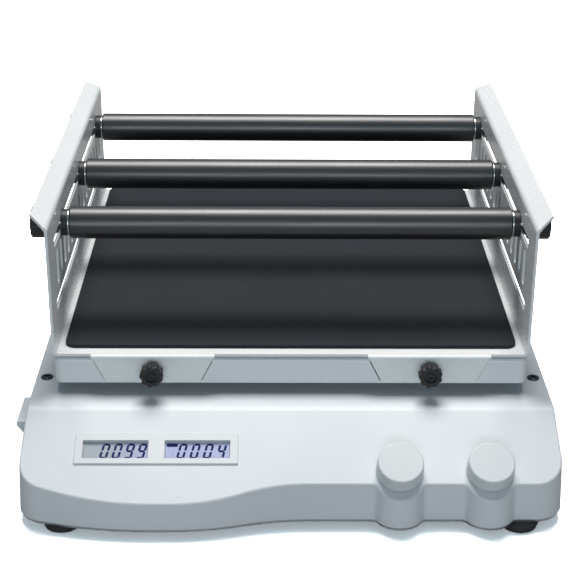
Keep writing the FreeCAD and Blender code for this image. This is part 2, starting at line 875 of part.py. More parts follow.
def make_carriage_plate():
    plate = rounded_prism(-carriage_half_x, carriage_half_x, platform_centre - carriage_half_y,
                          platform_centre + carriage_half_y, carriage_bottom, carriage_top,
                          carriage_corner_radius)
    openings = [rounded_prism(side * opening_distance - opening_half_x,
                              side * opening_distance + opening_half_x,
                              platform_centre - opening_half_y, platform_centre + opening_half_y,
                              carriage_bottom - 1, carriage_top + 1, opening_corner_radius)
                for side in (-1, 1)]
    return cut_all(plate, openings)


def make_platform_posts():
    top = tray_top - sheet
    return [rod(x, y, carriage_top, post_radius, top - carriage_top).cut(
        rod(x, y, top - post_thread_depth, base_screw_radius, post_thread_depth + 1))
        for x, y in post_places]


def make_post_screws():
    """Countersunk screws from the tray's top face down into the posts."""
    screws = []
    for x, y in post_places:
        head = Part.makeCone(base_screw_radius, base_screw_head, sheet, Vector(x, y, tray_top - sheet), up)
        shank = rod(x, y, tray_top - sheet - post_screw_length, base_screw_radius,
                    post_screw_length + sheet / 2)
        screws.append(joined([head, shank]))
    return screws


def make_yoke():
    top = carriage_bottom
    block = rounded_prism(-yoke_half_x, yoke_half_x, platform_centre - yoke_half_y + stroke / 2,
                          platform_centre + yoke_half_y + stroke / 2, yoke_bottom, top,
                          yoke_corner_radius)
    slot = stadium(2 * roller_radius + stroke + 2 * yoke_gap, 2 * (roller_radius + yoke_gap),
                   yoke_height - yoke_roof + 1)
    slot = placed(slot, along_y, Vector(-1, 0, 0), up,
                  Vector(0, platform_centre + stroke / 2, yoke_bottom - 1))
    return block.cut(slot)


def make_eccentric_shaft():
    bottom = belt_bottom - shaft_stub
    return rod(0, platform_centre, bottom, drive_shaft_radius, disc_bottom - bottom)


def make_crank_disc():
    return rod(0, platform_centre, disc_bottom, crank_disc_radius, crank_disc_thickness)


def make_counterweight():
    """A half-moon weight screwed round the crank disc, opposite the pin."""
    weight = ring(0, platform_centre, disc_bottom, counterweight_radius, crank_disc_radius,
                  crank_disc_thickness)
    keep = box(-counterweight_radius, counterweight_radius, platform_centre - counterweight_radius,
               platform_centre - counterweight_edge, disc_bottom - 1, disc_top + 1)
    return weight.common(keep)


def make_crank_pin():
    return rod(0, platform_centre + stroke, disc_top, crank_pin_radius,
               roller_lift + roller_width + roller_cap)


def make_crank_roller():
    return ring(0, platform_centre + stroke, disc_top + roller_lift, roller_radius, crank_pin_radius,
                roller_width)


def make_drive_plate():
    front = motor_y - drive_plate_margin
    rear = platform_centre + drive_plate_margin
    plate = rounded_prism(-drive_plate_half_x, drive_plate_half_x, front, rear, drive_plate_bottom,
                          drive_plate_top, drive_plate_corner_radius)
    bearing_hole = rod(0, platform_centre, drive_plate_bottom - 1, drive_bearing_radius,
                       drive_plate_thickness + 2)
    motor_hole = rod(0, motor_y, drive_plate_bottom - 1, motor_shaft_hole, drive_plate_thickness + 2)
    return cut_all(plate, [bearing_hole, motor_hole])


def make_standoffs():
    return [rod(x, y, base_top, standoff_radius, drive_plate_bottom - base_top)
            for x, y in standoff_places]


def make_drive_bearing():
    return ring(0, platform_centre, drive_plate_top - drive_bearing_width, drive_bearing_radius,
                drive_shaft_radius + running_gap, drive_bearing_width)


def toothed_pulley(x, y, radius, teeth, bore):
    """A timing pulley: trapezoid teeth between two flanges, with a hub bore."""
    core = rod(x, y, belt_bottom, radius, belt_width)
    tools = []
    for i in range(teeth):
        angle = 360.0 * i / teeth
        notch = box(radius - tooth_depth, radius + 1, -tooth_pitch / 4, tooth_pitch / 4,
                    belt_bottom - 1, belt_bottom + belt_width + 1)
        notch.rotate(Vector(0, 0, 0), up, angle)
        notch.translate(Vector(x, y, 0))
        tools.append(notch)
    core = cut_all(core, tools)
    rim = radius + pulley_rim
    flanges = [rod(x, y, belt_bottom - pulley_flange, rim, pulley_flange),
               rod(x, y, belt_bottom + belt_width, rim, pulley_flange)]
    return joined([core] + flanges).cut(rod(x, y, belt_bottom - 3, bore, belt_width + 6))


def make_motor():
    body = rod(0, motor_y, drive_plate_top, motor_radius, motor_height)
    top = [e for e in body.Edges if e.BoundBox.ZMin > drive_plate_top + motor_height - 1e-6]
    body = body.makeFillet(motor_edge_radius, top)
    bore = rod(0, motor_y, drive_plate_top - 1, motor_shaft_radius + running_gap,
               motor_height + 1 - motor_cap)
    return body.cut(bore)


def make_motor_shaft():
    bottom = belt_bottom - shaft_stub
    top = drive_plate_top + motor_height - motor_shaft_sink
    return rod(0, motor_y, bottom, motor_shaft_radius, top - bottom)


def belt_outline(extra, z):
    """The open-belt outline round both pulleys, grown by a distance."""
    span = platform_centre - motor_y
    big = big_pulley_radius + extra
    small = small_pulley_radius + extra
    tilt = math.asin((big - small) / span)
    side = math.cos(tilt)
    rise = math.sin(tilt)
    big_right = Vector(big * side, platform_centre - big * rise, z)
    big_left = Vector(-big * side, platform_centre - big * rise, z)
    small_right = Vector(small * side, motor_y - small * rise, z)
    small_left = Vector(-small * side, motor_y - small * rise, z)
    return Part.Wire([
        curved(big_right, Vector(0, platform_centre + big, z), big_left),
        straight(big_left, small_left),
        curved(small_left, Vector(0, motor_y - small, z), small_right),
        straight(small_right, big_right)])


def make_drive_belt():
    width = belt_width - 2 * belt_gap
    bottom = belt_bottom + belt_gap
    outer = Part.Face(belt_outline(belt_gap + belt_thickness, bottom)).extrude(Vector(0, 0, width))
    inner = Part.Face(belt_outline(belt_gap, bottom - 1)).extrude(Vector(0, 0, width + 2))
    return outer.cut(inner)


# Platform tray, slotted carrier and mat

def make_platform_tray():
    low = platform_centre - platform_depth / 2
    high = platform_centre + platform_depth / 2
    block = rounded_prism(-carrier_half, carrier_half, low, high, tray_bottom, tray_top,
                          tray_corner_radius)
    top = [e for e in block.Edges if all(v.Z > tray_top - 1e-6 for v in e.Vertexes)]
    block = block.makeFillet(tray_edge_radius, top)
    hollow = rounded_prism(-carrier_inner, carrier_inner, low + sheet, high - sheet, tray_bottom - 1,
                           tray_top - sheet, tray_corner_radius - sheet)
    tools = [Part.makeCone(base_screw_radius, base_screw_head, sheet, Vector(x, y, tray_top - sheet), up)
             for x, y in post_places]
    for side in (-1, 1):
        tools.append(rod(side * tab_distance, low - 1, thumb_z, thumb_screw_radius + clear_hole_gap,
                         sheet + 2, along_y))
    pads = []
    for side in (-1, 1):
        for y in (low + tray_pad_inset, platform_centre, high - tray_pad_inset):
            pads.append(rod(side * (carrier_half - tray_pad_inset), y, tray_top - sheet / 2, tray_pad_radius,
                            sheet / 2 + tray_pad_height))
    return joined([cut_all(block.cut(hollow), tools)] + pads)


def make_weld_nuts():
    return [ring(side * tab_distance, tray_front + sheet, thumb_z, weld_nut_radius,
                 thumb_screw_radius + running_gap, weld_nut_thickness, along_y)
            for side in (-1, 1)]


def carrier_profile():
    """Half of the folded sheet in the XZ plane: floor, upright wall and tilted flange."""
    tilt = math.radians(flange_angle)
    bend_top = plate_top + carrier_wall_height
    inner = floor_bend
    outer = floor_bend + sheet
    x_out = carrier_half
    x_in = carrier_inner
    z_low = plate_top - sheet
    middle_in = Vector(x_in - inner * (1 - math.sqrt(0.5)), 0, plate_top + inner * (1 - math.sqrt(0.5)))
    middle_out = Vector(x_out - outer * (1 - math.sqrt(0.5)), 0, z_low + outer * (1 - math.sqrt(0.5)))
    along = Vector(math.cos(tilt), 0, math.sin(tilt))
    across = Vector(-math.sin(tilt), 0, math.cos(tilt))
    turn = math.radians(90 - flange_angle)
    fold = flange_bend
    outer_fold = fold + sheet
    centre = Vector(x_out + fold, 0, bend_top - fold * math.tan(turn / 2))
    start_out = Vector(x_out, 0, centre.z)
    start_in = Vector(x_in, 0, centre.z)
    half_turn = turn / 2
    mid_out = centre.add(Vector(-fold * math.cos(half_turn), 0, fold * math.sin(half_turn)))
    mid_in = centre.add(Vector(-outer_fold * math.cos(half_turn), 0, outer_fold * math.sin(half_turn)))
    end_out = centre.add(across.multiply(fold))
    across = Vector(-math.sin(tilt), 0, math.cos(tilt))
    end_in = centre.add(across.multiply(outer_fold))
    reach = Vector(along.x * flange_length, 0, along.z * flange_length)
    tip_out = end_out.add(reach)
    tip_in = end_in.add(reach)
    return Part.Wire([
        straight(Vector(0, 0, z_low), Vector(x_out - outer, 0, z_low)),
        curved(Vector(x_out - outer, 0, z_low), middle_out, Vector(x_out, 0, z_low + outer)),
        straight(Vector(x_out, 0, z_low + outer), start_out),
        curved(start_out, mid_out, end_out),
        straight(end_out, tip_out),
        straight(tip_out, tip_in),
        straight(tip_in, end_in),
        curved(end_in, mid_in, start_in),
        straight(start_in, Vector(x_in, 0, plate_top + inner)),
        curved(Vector(x_in, 0, plate_top + inner), middle_in, Vector(x_in - inner, 0, plate_top)),
        straight(Vector(x_in - inner, 0, plate_top), Vector(0, 0, plate_top)),
        straight(Vector(0, 0, plate_top), Vector(0, 0, z_low))])


def flange_cutter():
    """Wedges that take off the flange's four outer corners."""
    wedges = []
    near = carrier_half + flange_corner_start
    far = near + 2 * flange_length
    for y, way in ((carrier_start, 1), (carrier_end, -1)):
        points = [Vector(near, y - way, 0), Vector(near, y + way, 0),
                  Vector(far, y + way * (1 + 2 * flange_corner_cut), 0), Vector(far, y - way, 0)]
        face = Part.Face(Part.makePolygon(points + points[:1]))
        wedge = face.extrude(Vector(0, 0, carrier_wall_height))
        wedge.translate(Vector(0, 0, plate_top + carrier_wall_height / 2))
        wedges.append(wedge)
        wedges.append(mirrored_x(wedge))
    return wedges


def front_tab(centre_x):
    """A trapezoid tab bent down over the tray's front wall."""
    back = tray_front - tab_gap
    front = back - sheet
    z_low = plate_top - tab_drop - sheet
    points = [Vector(centre_x - tab_top_width / 2, front, plate_top),
              Vector(centre_x + tab_top_width / 2, front, plate_top),
              Vector(centre_x + tab_bottom_width / 2, front, z_low),
              Vector(centre_x - tab_bottom_width / 2, front, z_low)]
    face = Part.Face(Part.makePolygon(points + points[:1]))
    tab = face.extrude(Vector(0, sheet, 0))
    shelf = box(centre_x - tab_top_width / 2, centre_x + tab_top_width / 2, front,
                tray_front + plate_setback + 1, plate_top - sheet, plate_top)
    whole = joined([tab, shelf])
    edges = [e for e in whole.Edges
             if all(abs(v.Y - front) < 1e-6 and abs(v.Z - plate_top) < 1e-6 for v in e.Vertexes)]
    whole = whole.makeFillet(tab_bend, edges)
    hole = rod(centre_x, front - 1, thumb_z, thumb_screw_radius + clear_hole_gap, sheet + 3, along_y)
    return whole.cut(hole)


def make_slotted_carrier():
    half = Part.Face(carrier_profile()).extrude(Vector(0, carrier_end - carrier_start, 0))
    half.translate(Vector(0, carrier_start, 0))
    whole = joined([half, mirrored_x(half)])
    notch = box(-carrier_half - 1, carrier_half + 1, carrier_start - 1, tray_front + plate_setback,
                plate_top - sheet - 1, plate_top + 3)
    tools = flange_cutter() + [notch]
    tools.append(side_slot(long_slot_length, long_slot_height, platform_centre, bar_z))
    low_z = plate_top + low_slot_rise + low_slot_height / 2
    tools.append(side_slot(low_slot_length, low_slot_height, platform_centre, low_z))
    whole = cut_all(whole, tools)
    vents = []
    for i in range(vent_count):
        y = platform_centre + (i - (vent_count - 1) / 2) * vent_pitch
        vent = stadium(vent_height, vent_width, 2 * carrier_half + 2 * sheet)
        origin = Vector(-carrier_half - sheet, y, plate_top + vent_rise + vent_height / 2)
        vents.append(placed(vent, up, Vector(0, -1, 0), along_x, origin))
    whole = cut_all(whole, vents)
    tabs = [front_tab(side * tab_distance) for side in (-1, 1)]
    return joined([whole] + tabs)


def make_rubber_mat():
    rear = carrier_end - mat_rear_margin
    return rounded_prism(-mat_size / 2, mat_size / 2, rear - mat_size, rear, plate_top,
                         plate_top + mat_thickness, mat_corner_radius)


# Clamping bars with their end knobs

def make_bar_core(y):
    """A steel bar with turned shoulders and a thinner stud at each end."""
    shoulder_end = sleeve_half_length + shoulder_width
    pieces = [rod(-stud_reach, y, bar_z, stud_radius, 2 * stud_reach, along_x),
              rod(-sleeve_half_length, y, bar_z, core_radius, 2 * sleeve_half_length, along_x),
              rod(-shoulder_end, y, bar_z, shoulder_radius, shoulder_width, along_x),
              rod(sleeve_half_length, y, bar_z, shoulder_radius, shoulder_width, along_x)]
    return joined(pieces)


def make_bar_sleeve(y):
    sleeve = ring(-sleeve_half_length, y, bar_z, sleeve_radius, core_radius, 2 * sleeve_half_length, along_x)
    ends = [e for e in sleeve.Edges if abs(e.BoundBox.XMax - e.BoundBox.XMin) < 1e-6
            and e.BoundBox.ZMax - e.BoundBox.ZMin > 2 * sleeve_radius - 1]
    return sleeve.makeChamfer(sleeve_edge, ends)


def make_bar_collars(y):
    start = sleeve_half_length + shoulder_width
    collar = ring(start, y, bar_z, collar_radius, stud_radius, collar_width, along_x)
    return [collar, mirrored_x(collar)]


def scalloped_disc(radius, length, count, scallop_radius, edge):
    """A grip with round flutes, along local Z from 0."""
    disc = rod(0, 0, 0, radius, length)
    rims = [e for e in disc.Edges if abs(e.BoundBox.ZMax - e.BoundBox.ZMin) < 1e-6]
    disc = disc.makeChamfer(edge, rims)
    flutes = []
    for i in range(count):
        angle = 2 * math.pi * i / count
        distance = radius + scallop_radius * scallop_share
        flutes.append(rod(distance * math.cos(angle), distance * math.sin(angle), -1, scallop_radius,
                          length + 2))
    return cut_all(disc, flutes)


def make_bar_knob(y, side):
    head = scalloped_disc(knob_radius, knob_length, knob_scallops, knob_scallop_radius, knob_edge)
    head.translate(Vector(0, 0, knob_hub_length))
    hub = rod(0, 0, 0, knob_hub_radius, knob_hub_length + 1)
    start = carrier_half + face_gap
    bore = rod(0, 0, -1, stud_radius + running_gap, stud_reach - start + 1 + face_gap)
    knob = joined([head, hub]).cut(bore)
    x_axis = Vector(0, side, 0)
    return placed(knob, x_axis, up, Vector(side, 0, 0), Vector(side * start, y, bar_z))


def make_thumbscrew(side):
    """A fluted head, a neck that bears on the tab and a threaded shank."""
    neck_start = tab_gap + sheet + face_gap
    head = scalloped_disc(thumb_radius, thumb_length, thumb_scallops, thumb_scallop_radius, thumb_edge)
    head.translate(Vector(0, 0, thumb_neck_length))
    recess = rod(0, 0, thumb_neck_length + thumb_length - thumb_recess_depth, thumb_recess_radius, 2)
    neck = rod(0, 0, 0, thumb_neck_radius, thumb_neck_length + 1)
    shank = rod(0, 0, -thumb_screw_length, thumb_screw_radius, thumb_screw_length + 1)
    whole = joined([head, neck, shank]).cut(recess)
    origin = Vector(side * tab_distance, tray_front - neck_start, thumb_z)
    return placed(whole, along_x, up, Vector(0, -1, 0), origin)


def main():
    os.makedirs("parts", exist_ok=True)
    save("upper_housing", make_upper_housing())
    save("base_plate", make_base_plate())
    save("rubber_feet", make_rubber_feet())
    save("base_screws", make_base_screws())
    save("deck_plugs", make_deck_plugs())
    save("display_bezel", make_display_bezel())
    save("display_panes", make_display_panes())
    save("lcd_modules", make_lcd_modules())
    save("control_board", make_control_board())
    save("encoder_bodies", make_encoders())
    save("speed_shaft", make_control_shaft(knob_one_x))
    save("timer_shaft", make_control_shaft(knob_two_x))
    save("speed_knob", make_control_knob(knob_one_x))
    save("timer_knob", make_control_knob(knob_two_x))
    save("switch_body", make_switch_body())
    save("power_rocker", make_power_rocker())
    save("power_inlet", make_power_inlet())
    save("power_supply", make_power_supply())
    save("guide_rods", make_guide_rods())
    save("rod_supports", make_rod_supports())
    save("bearing_blocks", make_bearing_blocks())
    save("linear_bearings", make_linear_bearings())
    save("carriage_plate", make_carriage_plate())
    save("platform_posts", make_platform_posts())
    save("post_screws", make_post_screws())
    save("yoke", make_yoke())
    save("eccentric_shaft", make_eccentric_shaft())
    save("crank_disc", make_crank_disc())
    save("counterweight", make_counterweight())
    save("crank_pin", make_crank_pin())
    save("crank_roller", make_crank_roller())
    save("eccentric_pulley", toothed_pulley(0, platform_centre, big_pulley_radius, big_pulley_teeth,
                                            drive_shaft_radius))
    save("drive_plate", make_drive_plate())
    save("plate_standoffs", make_standoffs())
    save("drive_bearing", make_drive_bearing())
    save("motor", make_motor())
    save("motor_shaft", make_motor_shaft())
    save("motor_pulley", toothed_pulley(0, motor_y, small_pulley_radius, small_pulley_teeth,
                                        motor_shaft_radius))
    save("drive_belt", make_drive_belt())
    save("platform_tray", make_platform_tray())
    save("weld_nuts", make_weld_nuts())
    save("slotted_carrier", make_slotted_carrier())
    save("rubber_mat", make_rubber_mat())
    for name, y in (("front", bar_front), ("middle", bar_middle), ("rear", bar_rear)):
        save(name + "_bar_core", make_bar_core(y))
        save(name + "_bar_sleeve", make_bar_sleeve(y))
        save(name + "_bar_collars", make_bar_collars(y))
        save(name + "_left_knob", make_bar_knob(y, -1))
        save(name + "_right_knob", make_bar_knob(y, 1))
    save("left_thumbscrew", make_thumbscrew(-1))
    save("right_thumbscrew", make_thumbscrew(1))


main()
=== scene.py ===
# %% [markdown]
# A linear shaker for the laboratory bench. A pale moulded housing carries a tray that slides to
# and fro. On the tray sits a folded, slotted carrier with a black mat, and three rubber-covered
# bars run across it. The solids come from the frame, already at their real size and place. This
# file gives them their finishes, remakes the small round pieces that the eye rests on, and sets
# up the light and the camera.

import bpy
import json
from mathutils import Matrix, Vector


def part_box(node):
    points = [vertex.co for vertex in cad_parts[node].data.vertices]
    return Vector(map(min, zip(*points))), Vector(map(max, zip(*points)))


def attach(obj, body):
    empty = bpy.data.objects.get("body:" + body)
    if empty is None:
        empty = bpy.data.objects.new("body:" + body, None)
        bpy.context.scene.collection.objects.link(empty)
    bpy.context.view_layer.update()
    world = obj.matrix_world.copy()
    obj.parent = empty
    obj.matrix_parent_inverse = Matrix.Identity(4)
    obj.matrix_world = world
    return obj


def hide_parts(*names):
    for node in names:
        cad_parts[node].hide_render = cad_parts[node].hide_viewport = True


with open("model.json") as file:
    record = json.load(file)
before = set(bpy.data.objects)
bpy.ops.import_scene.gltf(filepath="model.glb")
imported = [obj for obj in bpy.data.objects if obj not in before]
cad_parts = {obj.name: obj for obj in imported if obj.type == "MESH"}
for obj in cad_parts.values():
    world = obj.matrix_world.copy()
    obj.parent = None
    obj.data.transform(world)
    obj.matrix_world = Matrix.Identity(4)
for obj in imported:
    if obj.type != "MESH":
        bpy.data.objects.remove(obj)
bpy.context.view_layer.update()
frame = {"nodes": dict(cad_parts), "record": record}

import json
import math

import bpy
from mathutils import Matrix, Vector

print("nodes in the frame:", len(frame["nodes"]))

# %% [markdown]
# Everything is in metres, so a small length is easier to read in millimetres. Colours are
# written as the hex values that a designer would pick on a screen, and one function turns them
# into the linear values that the shaders add up.

# %% Lengths and colours
MM = 0.001


def linear(hex_colour):
    """Linear RGBA from an sRGB hex value."""
    parts = [int(hex_colour[i:i + 2], 16) / 255 for i in (0, 2, 4)]
    return [c / 12.92 if c <= 0.04045 else ((c + 0.055) / 1.055) ** 2.4 for c in parts] + [1.0]


print("housing grey in linear light:", [round(c, 3) for c in linear("DDE1E4")])

# %% [markdown]
# The photograph looks down at the front, as someone would who sits at the bench. A camera fitted
# to the edges of the housing and of the tray stands 1.03 m in front of the machine's middle,
# 0.56 m above the bench and 12 mm to the left. It is tilted down by 24.4 degrees, was held 0.44
# degrees out of level, and has a long lens.

# %% Camera
camera_place = (-0.0125, -1.0318, 0.5553)
camera_tilt = 24.37
camera_turn = 0.735
camera_roll = 0.44
camera_lens = 90.6

camera_data = bpy.data.cameras.new("portrait_camera")
camera_data.sensor_fit = "HORIZONTAL"
camera_data.sensor_width = 36.0
camera_data.lens = camera_lens
camera = bpy.data.objects.new("portrait_camera", camera_data)
camera.location = camera_place
camera.rotation_euler = (math.radians(90 - camera_tilt), 0, -math.radians(camera_turn))
camera.rotation_euler.rotate_axis("Z", math.radians(camera_roll))
bpy.context.scene.collection.objects.link(camera)
bpy.context.scene.camera = camera
print("camera distance to the origin:", round(Vector(camera_place).length, 3), "m")

# %% [markdown]
# A material is a small tree of nodes. It could be wired in the shader editor; in code, one
# function adds a node with its settings, its values and its links, and another starts a material
# whose single shader already has its plain colour, roughness and metal value.

# %% Nodes
def add_node(tree, kind, values=(), links=(), **settings):
    """Adds a node; values go into sockets, links are (node, output) pairs by socket."""
    node = tree.nodes.new(kind)
    for name, value in settings.items():
        setattr(node, name, value)
    for socket, value in dict(values).items():
        node.inputs[socket].default_value = value
    for socket, (source, output) in dict(links).items():
        tree.links.new(source.outputs[output], node.inputs[socket])
    return node


def start_material(name, hex_colour, roughness, metallic=0.0):
    """A material whose one shader already has its plain values."""
    material = bpy.data.materials.new(name)
    material.use_nodes = True
    shader = material.node_tree.nodes["Principled BSDF"]
    shader.inputs["Base Color"].default_value = linear(hex_colour)
    shader.inputs["Roughness"].default_value = roughness
    shader.inputs["Metallic"].default_value = metallic
    return material, material.node_tree, shader


print("shader inputs to fill: colour, roughness, metallic")

# %% [markdown]
# No real surface is quite even. A noise pattern with a grain of a real size shifts the colour a
# little, varies the gloss or stands up as a relief. The pattern reads object coordinates, so it
# stays with the piece when the piece moves. Three helpers do one of these each. Noise seldom
# leaves the range from 0.3 to 0.7, so that range is spread out first. A mix node has several
# sockets of one name, so its two colours and its result are found by their numbers.

# %% Patterns
noise_low = 0.3
noise_high = 0.7
mix_first = 6
mix_second = 7
mix_result = 2


def noise_on(tree, grain, detail=2.0, stretch=(1, 1, 1)):
    """Noise on object coordinates with a grain of the given size in metres."""
    place = add_node(tree, "ShaderNodeTexCoord")
    spread = add_node(tree, "ShaderNodeMapping", {"Scale": stretch}, {"Vector": (place, "Object")})
    return add_node(tree, "ShaderNodeTexNoise", {"Scale": 1 / grain, "Detail": detail},
                    {"Vector": (spread, "Vector")})


def colour_by(tree, shader, pattern, first, second):
    """Lets a pattern blend two close colours into the shader's colour."""
    share = add_node(tree, "ShaderNodeMapRange", {"From Min": noise_low, "From Max": noise_high},
                     {"Value": (pattern, 0)})
    tone = add_node(tree, "ShaderNodeMix", {mix_first: linear(first), mix_second: linear(second)},
                    {0: (share, 0)}, data_type="RGBA")
    tree.links.new(tone.outputs[mix_result], shader.inputs["Base Color"])


def gloss_by(tree, shader, pattern, low, high):
    """Lets a pattern vary the roughness between two values."""
    gloss = add_node(tree, "ShaderNodeMapRange", {"From Min": noise_low, "From Max": noise_high,
                                                  "To Min": low, "To Max": high},
                     {"Value": (pattern, 0)})
    tree.links.new(gloss.outputs[0], shader.inputs["Roughness"])


def relief_by(tree, shader, pattern, height, strength):
    """Lets a pattern stand up by the given height in metres."""
    relief = add_node(tree, "ShaderNodeBump", {"Strength": strength, "Distance": height},
                      {"Height": (pattern, 0)})
    tree.links.new(relief.outputs["Normal"], shader.inputs["Normal"])


print("noise from", noise_low, "to", noise_high, "is spread over the whole range")

# %% [markdown]
# The housing, the bezel and the knobs are moulded ABS. The mould is spark-eroded, so the skin
# has a very fine grain that softens every reflection, and large faces are never quite even in
# tone. The grain is far smaller than a pixel, so it is drawn at 0.6 mm and kept very low, and a
# slow cloud 60 mm wide shifts the tone by a hair. The grips and collars are black nylon from a
# mould of the same kind. The rocker and the deck plugs are black ABS from a polished one.

# %% Moulded plastics
cloud_width = 60 * MM
grain_width = 0.6 * MM
grain_height = 0.03 * MM


def moulded_abs(name, colour, cloudy_colour, roughness):
    material, tree, shader = start_material(name, colour, roughness)
    colour_by(tree, shader, noise_on(tree, cloud_width), colour, cloudy_colour)
    grain = noise_on(tree, grain_width, 3.0)
    gloss_by(tree, shader, grain, roughness - 0.05, roughness + 0.06)
    relief_by(tree, shader, grain, grain_height, 0.5)
    return material


housing_abs = moulded_abs("moulded_abs_pale_grey", "DCE1E5", "D7DDE1", 0.42)
bezel_abs = moulded_abs("moulded_abs_bezel", "DCE0E3", "D7DBDF", 0.4)
knob_abs = moulded_abs("moulded_abs_knob", "D5DBDE", "D0D6D9", 0.42)
nylon_black = moulded_abs("moulded_nylon_black", "101113", "151618", 0.46)
switch_black = moulded_abs("polished_abs_black", "121214", "161618", 0.2)
print("moulded plastics:", [m.name for m in (housing_abs, bezel_abs, knob_abs, nylon_black, switch_black)])

# %% [markdown]
# The tray and the carrier are folded steel sheet under a powder coat. A baked powder skin has a
# slight orange peel, waves about 2 mm across that wobble the highlights a little, and a satin
# gloss. The peel is kept faint, since the flanges face the lamp at a slant and show every wave.

# %% Powder coat
coat_cloud_width = 45 * MM
peel_width = 2 * MM
peel_height = 0.02 * MM


def powder_coat(name, colour, cloudy_colour, roughness):
    material, tree, shader = start_material(name, colour, roughness)
    colour_by(tree, shader, noise_on(tree, coat_cloud_width), colour, cloudy_colour)
    peel = noise_on(tree, peel_width, 1.0)
    gloss_by(tree, shader, peel, roughness - 0.015, roughness + 0.015)
    relief_by(tree, shader, peel, peel_height, 0.12)
    return material


tray_coat = powder_coat("powder_coat_tray", "E6EAED", "E1E6E9", 0.32)
carrier_coat = powder_coat("powder_coat_carrier", "ECEFF0", "E8EBEC", 0.28)
print("powder coats:", tray_coat.name, "and", carrier_coat.name)

# %% [markdown]
# Three rubbers. The sleeves on the bars are extruded tube: smooth, with faint lines along the
# bar from the die and a broad soft highlight. The mat is moulded sheet with a fine pebble that
# scatters the light. The feet and the belt are plain dark compound with a dusty bloom.

# %% Rubbers
die_line_width = 1.2 * MM
die_line_height = 0.04 * MM
sleeve_cloud_width = 30 * MM
pebble_width = 1.6 * MM
pebble_height = 0.15 * MM
wear_width = 70 * MM
bloom_width = 8 * MM
bloom_height = 0.05 * MM


def extruded_rubber():
    material, tree, shader = start_material("extruded_rubber_tube", "0A0A0C", 0.38)
    shader.inputs["Specular IOR Level"].default_value = 0.9
    lines = noise_on(tree, die_line_width, 2.0, (0.02, 1, 1))
    colour_by(tree, shader, noise_on(tree, sleeve_cloud_width), "09090B", "0E0E10")
    gloss_by(tree, shader, lines, 0.34, 0.42)
    relief_by(tree, shader, lines, die_line_height, 0.4)
    return material


def pebbled_rubber():
    material, tree, shader = start_material("pebbled_rubber_mat", "1F2125", 0.8)
    shader.inputs["Specular IOR Level"].default_value = 0.25
    place = add_node(tree, "ShaderNodeTexCoord")
    pebble = add_node(tree, "ShaderNodeTexVoronoi", {"Scale": 1 / pebble_width},
                      {"Vector": (place, "Object")}, feature="SMOOTH_F1")
    wear = noise_on(tree, wear_width, 3.0)
    colour_by(tree, shader, wear, "202227", "282B30")
    gloss_by(tree, shader, wear, 0.74, 0.86)
    relief_by(tree, shader, pebble, pebble_height, 0.6)
    return material


def dusty_rubber(name, colour, bloom_colour):
    material, tree, shader = start_material(name, colour, 0.65)
    bloom = noise_on(tree, bloom_width, 4.0)
    colour_by(tree, shader, bloom, colour, bloom_colour)
    relief_by(tree, shader, bloom, bloom_height, 0.4)
    return material


sleeve_rubber = extruded_rubber()
mat_rubber = pebbled_rubber()
foot_rubber = dusty_rubber("moulded_rubber_foot", "2B2C2E", "37383A")
belt_rubber = dusty_rubber("neoprene_belt", "141415", "1E1E20")
print("rubbers:", [m.name for m in (sleeve_rubber, mat_rubber, foot_rubber, belt_rubber)])

# %% [markdown]
# The bare metals. Zinc plate has a faint spangle and a bluish tint. Ground steel rod is bright,
# with very fine rings from the wheel. Machined aluminium is softer, with cutter lines. Brass is
# for the contact pins. A metal's colour is its reflection, so only roughness and bump vary much.

# %% Metals
spangle_width = 6 * MM
cut_line_height = 0.01 * MM


def zinc_plate(name, colour, roughness):
    material, tree, shader = start_material(name, colour, roughness, 1.0)
    place = add_node(tree, "ShaderNodeTexCoord")
    spangle = add_node(tree, "ShaderNodeTexVoronoi", {"Scale": 1 / spangle_width},
                       {"Vector": (place, "Object")})
    gloss = add_node(tree, "ShaderNodeMapRange", {"To Min": roughness - 0.06, "To Max": roughness + 0.08},
                     {"Value": (spangle, "Distance")})
    tree.links.new(gloss.outputs[0], shader.inputs["Roughness"])
    return material


def cut_metal(name, colour, roughness, line_width, stretch):
    material, tree, shader = start_material(name, colour, roughness, 1.0)
    lines = noise_on(tree, line_width, 2.0, stretch)
    gloss_by(tree, shader, lines, roughness - 0.05, roughness + 0.07)
    relief_by(tree, shader, lines, cut_line_height, 0.5)
    return material


zinc_steel = zinc_plate("zinc_plated_steel", "B9BDC2", 0.36)
screw_steel = zinc_plate("zinc_plated_screw", "AEB1B5", 0.3)
ground_steel = cut_metal("ground_steel", "C9CBCD", 0.2, 0.8 * MM, (1, 0.05, 0.05))
cut_aluminium = cut_metal("machined_aluminium", "C4C6C9", 0.38, 1.0 * MM, (0.06, 1, 1))
case_aluminium = cut_metal("folded_aluminium_case", "A9ABAE", 0.42, 1.0 * MM, (1, 0.06, 1))
pin_brass = cut_metal("drawn_brass", "C9A65A", 0.25, 0.5 * MM, (1, 0.1, 1))
print("metals:", [m.name for m in (zinc_steel, screw_steel, ground_steel, cut_aluminium, case_aluminium,
                                   pin_brass)])

# %% [markdown]
# The motor has a thin glossy enamel over a casting that is not quite smooth. The circuit board is
# green solder mask, with the copper tracks showing as slightly lighter strips under it.

# %% Enamel and board
casting_width = 1.5 * MM
casting_height = 0.04 * MM
track_width = 4 * MM
mask_green = "1B5A38"
track_green = "246B45"


def black_enamel():
    material, tree, shader = start_material("motor_enamel", "1A1B1D", 0.3)
    casting = noise_on(tree, casting_width, 1.0)
    gloss_by(tree, shader, casting, 0.25, 0.38)
    relief_by(tree, shader, casting, casting_height, 0.5)
    return material


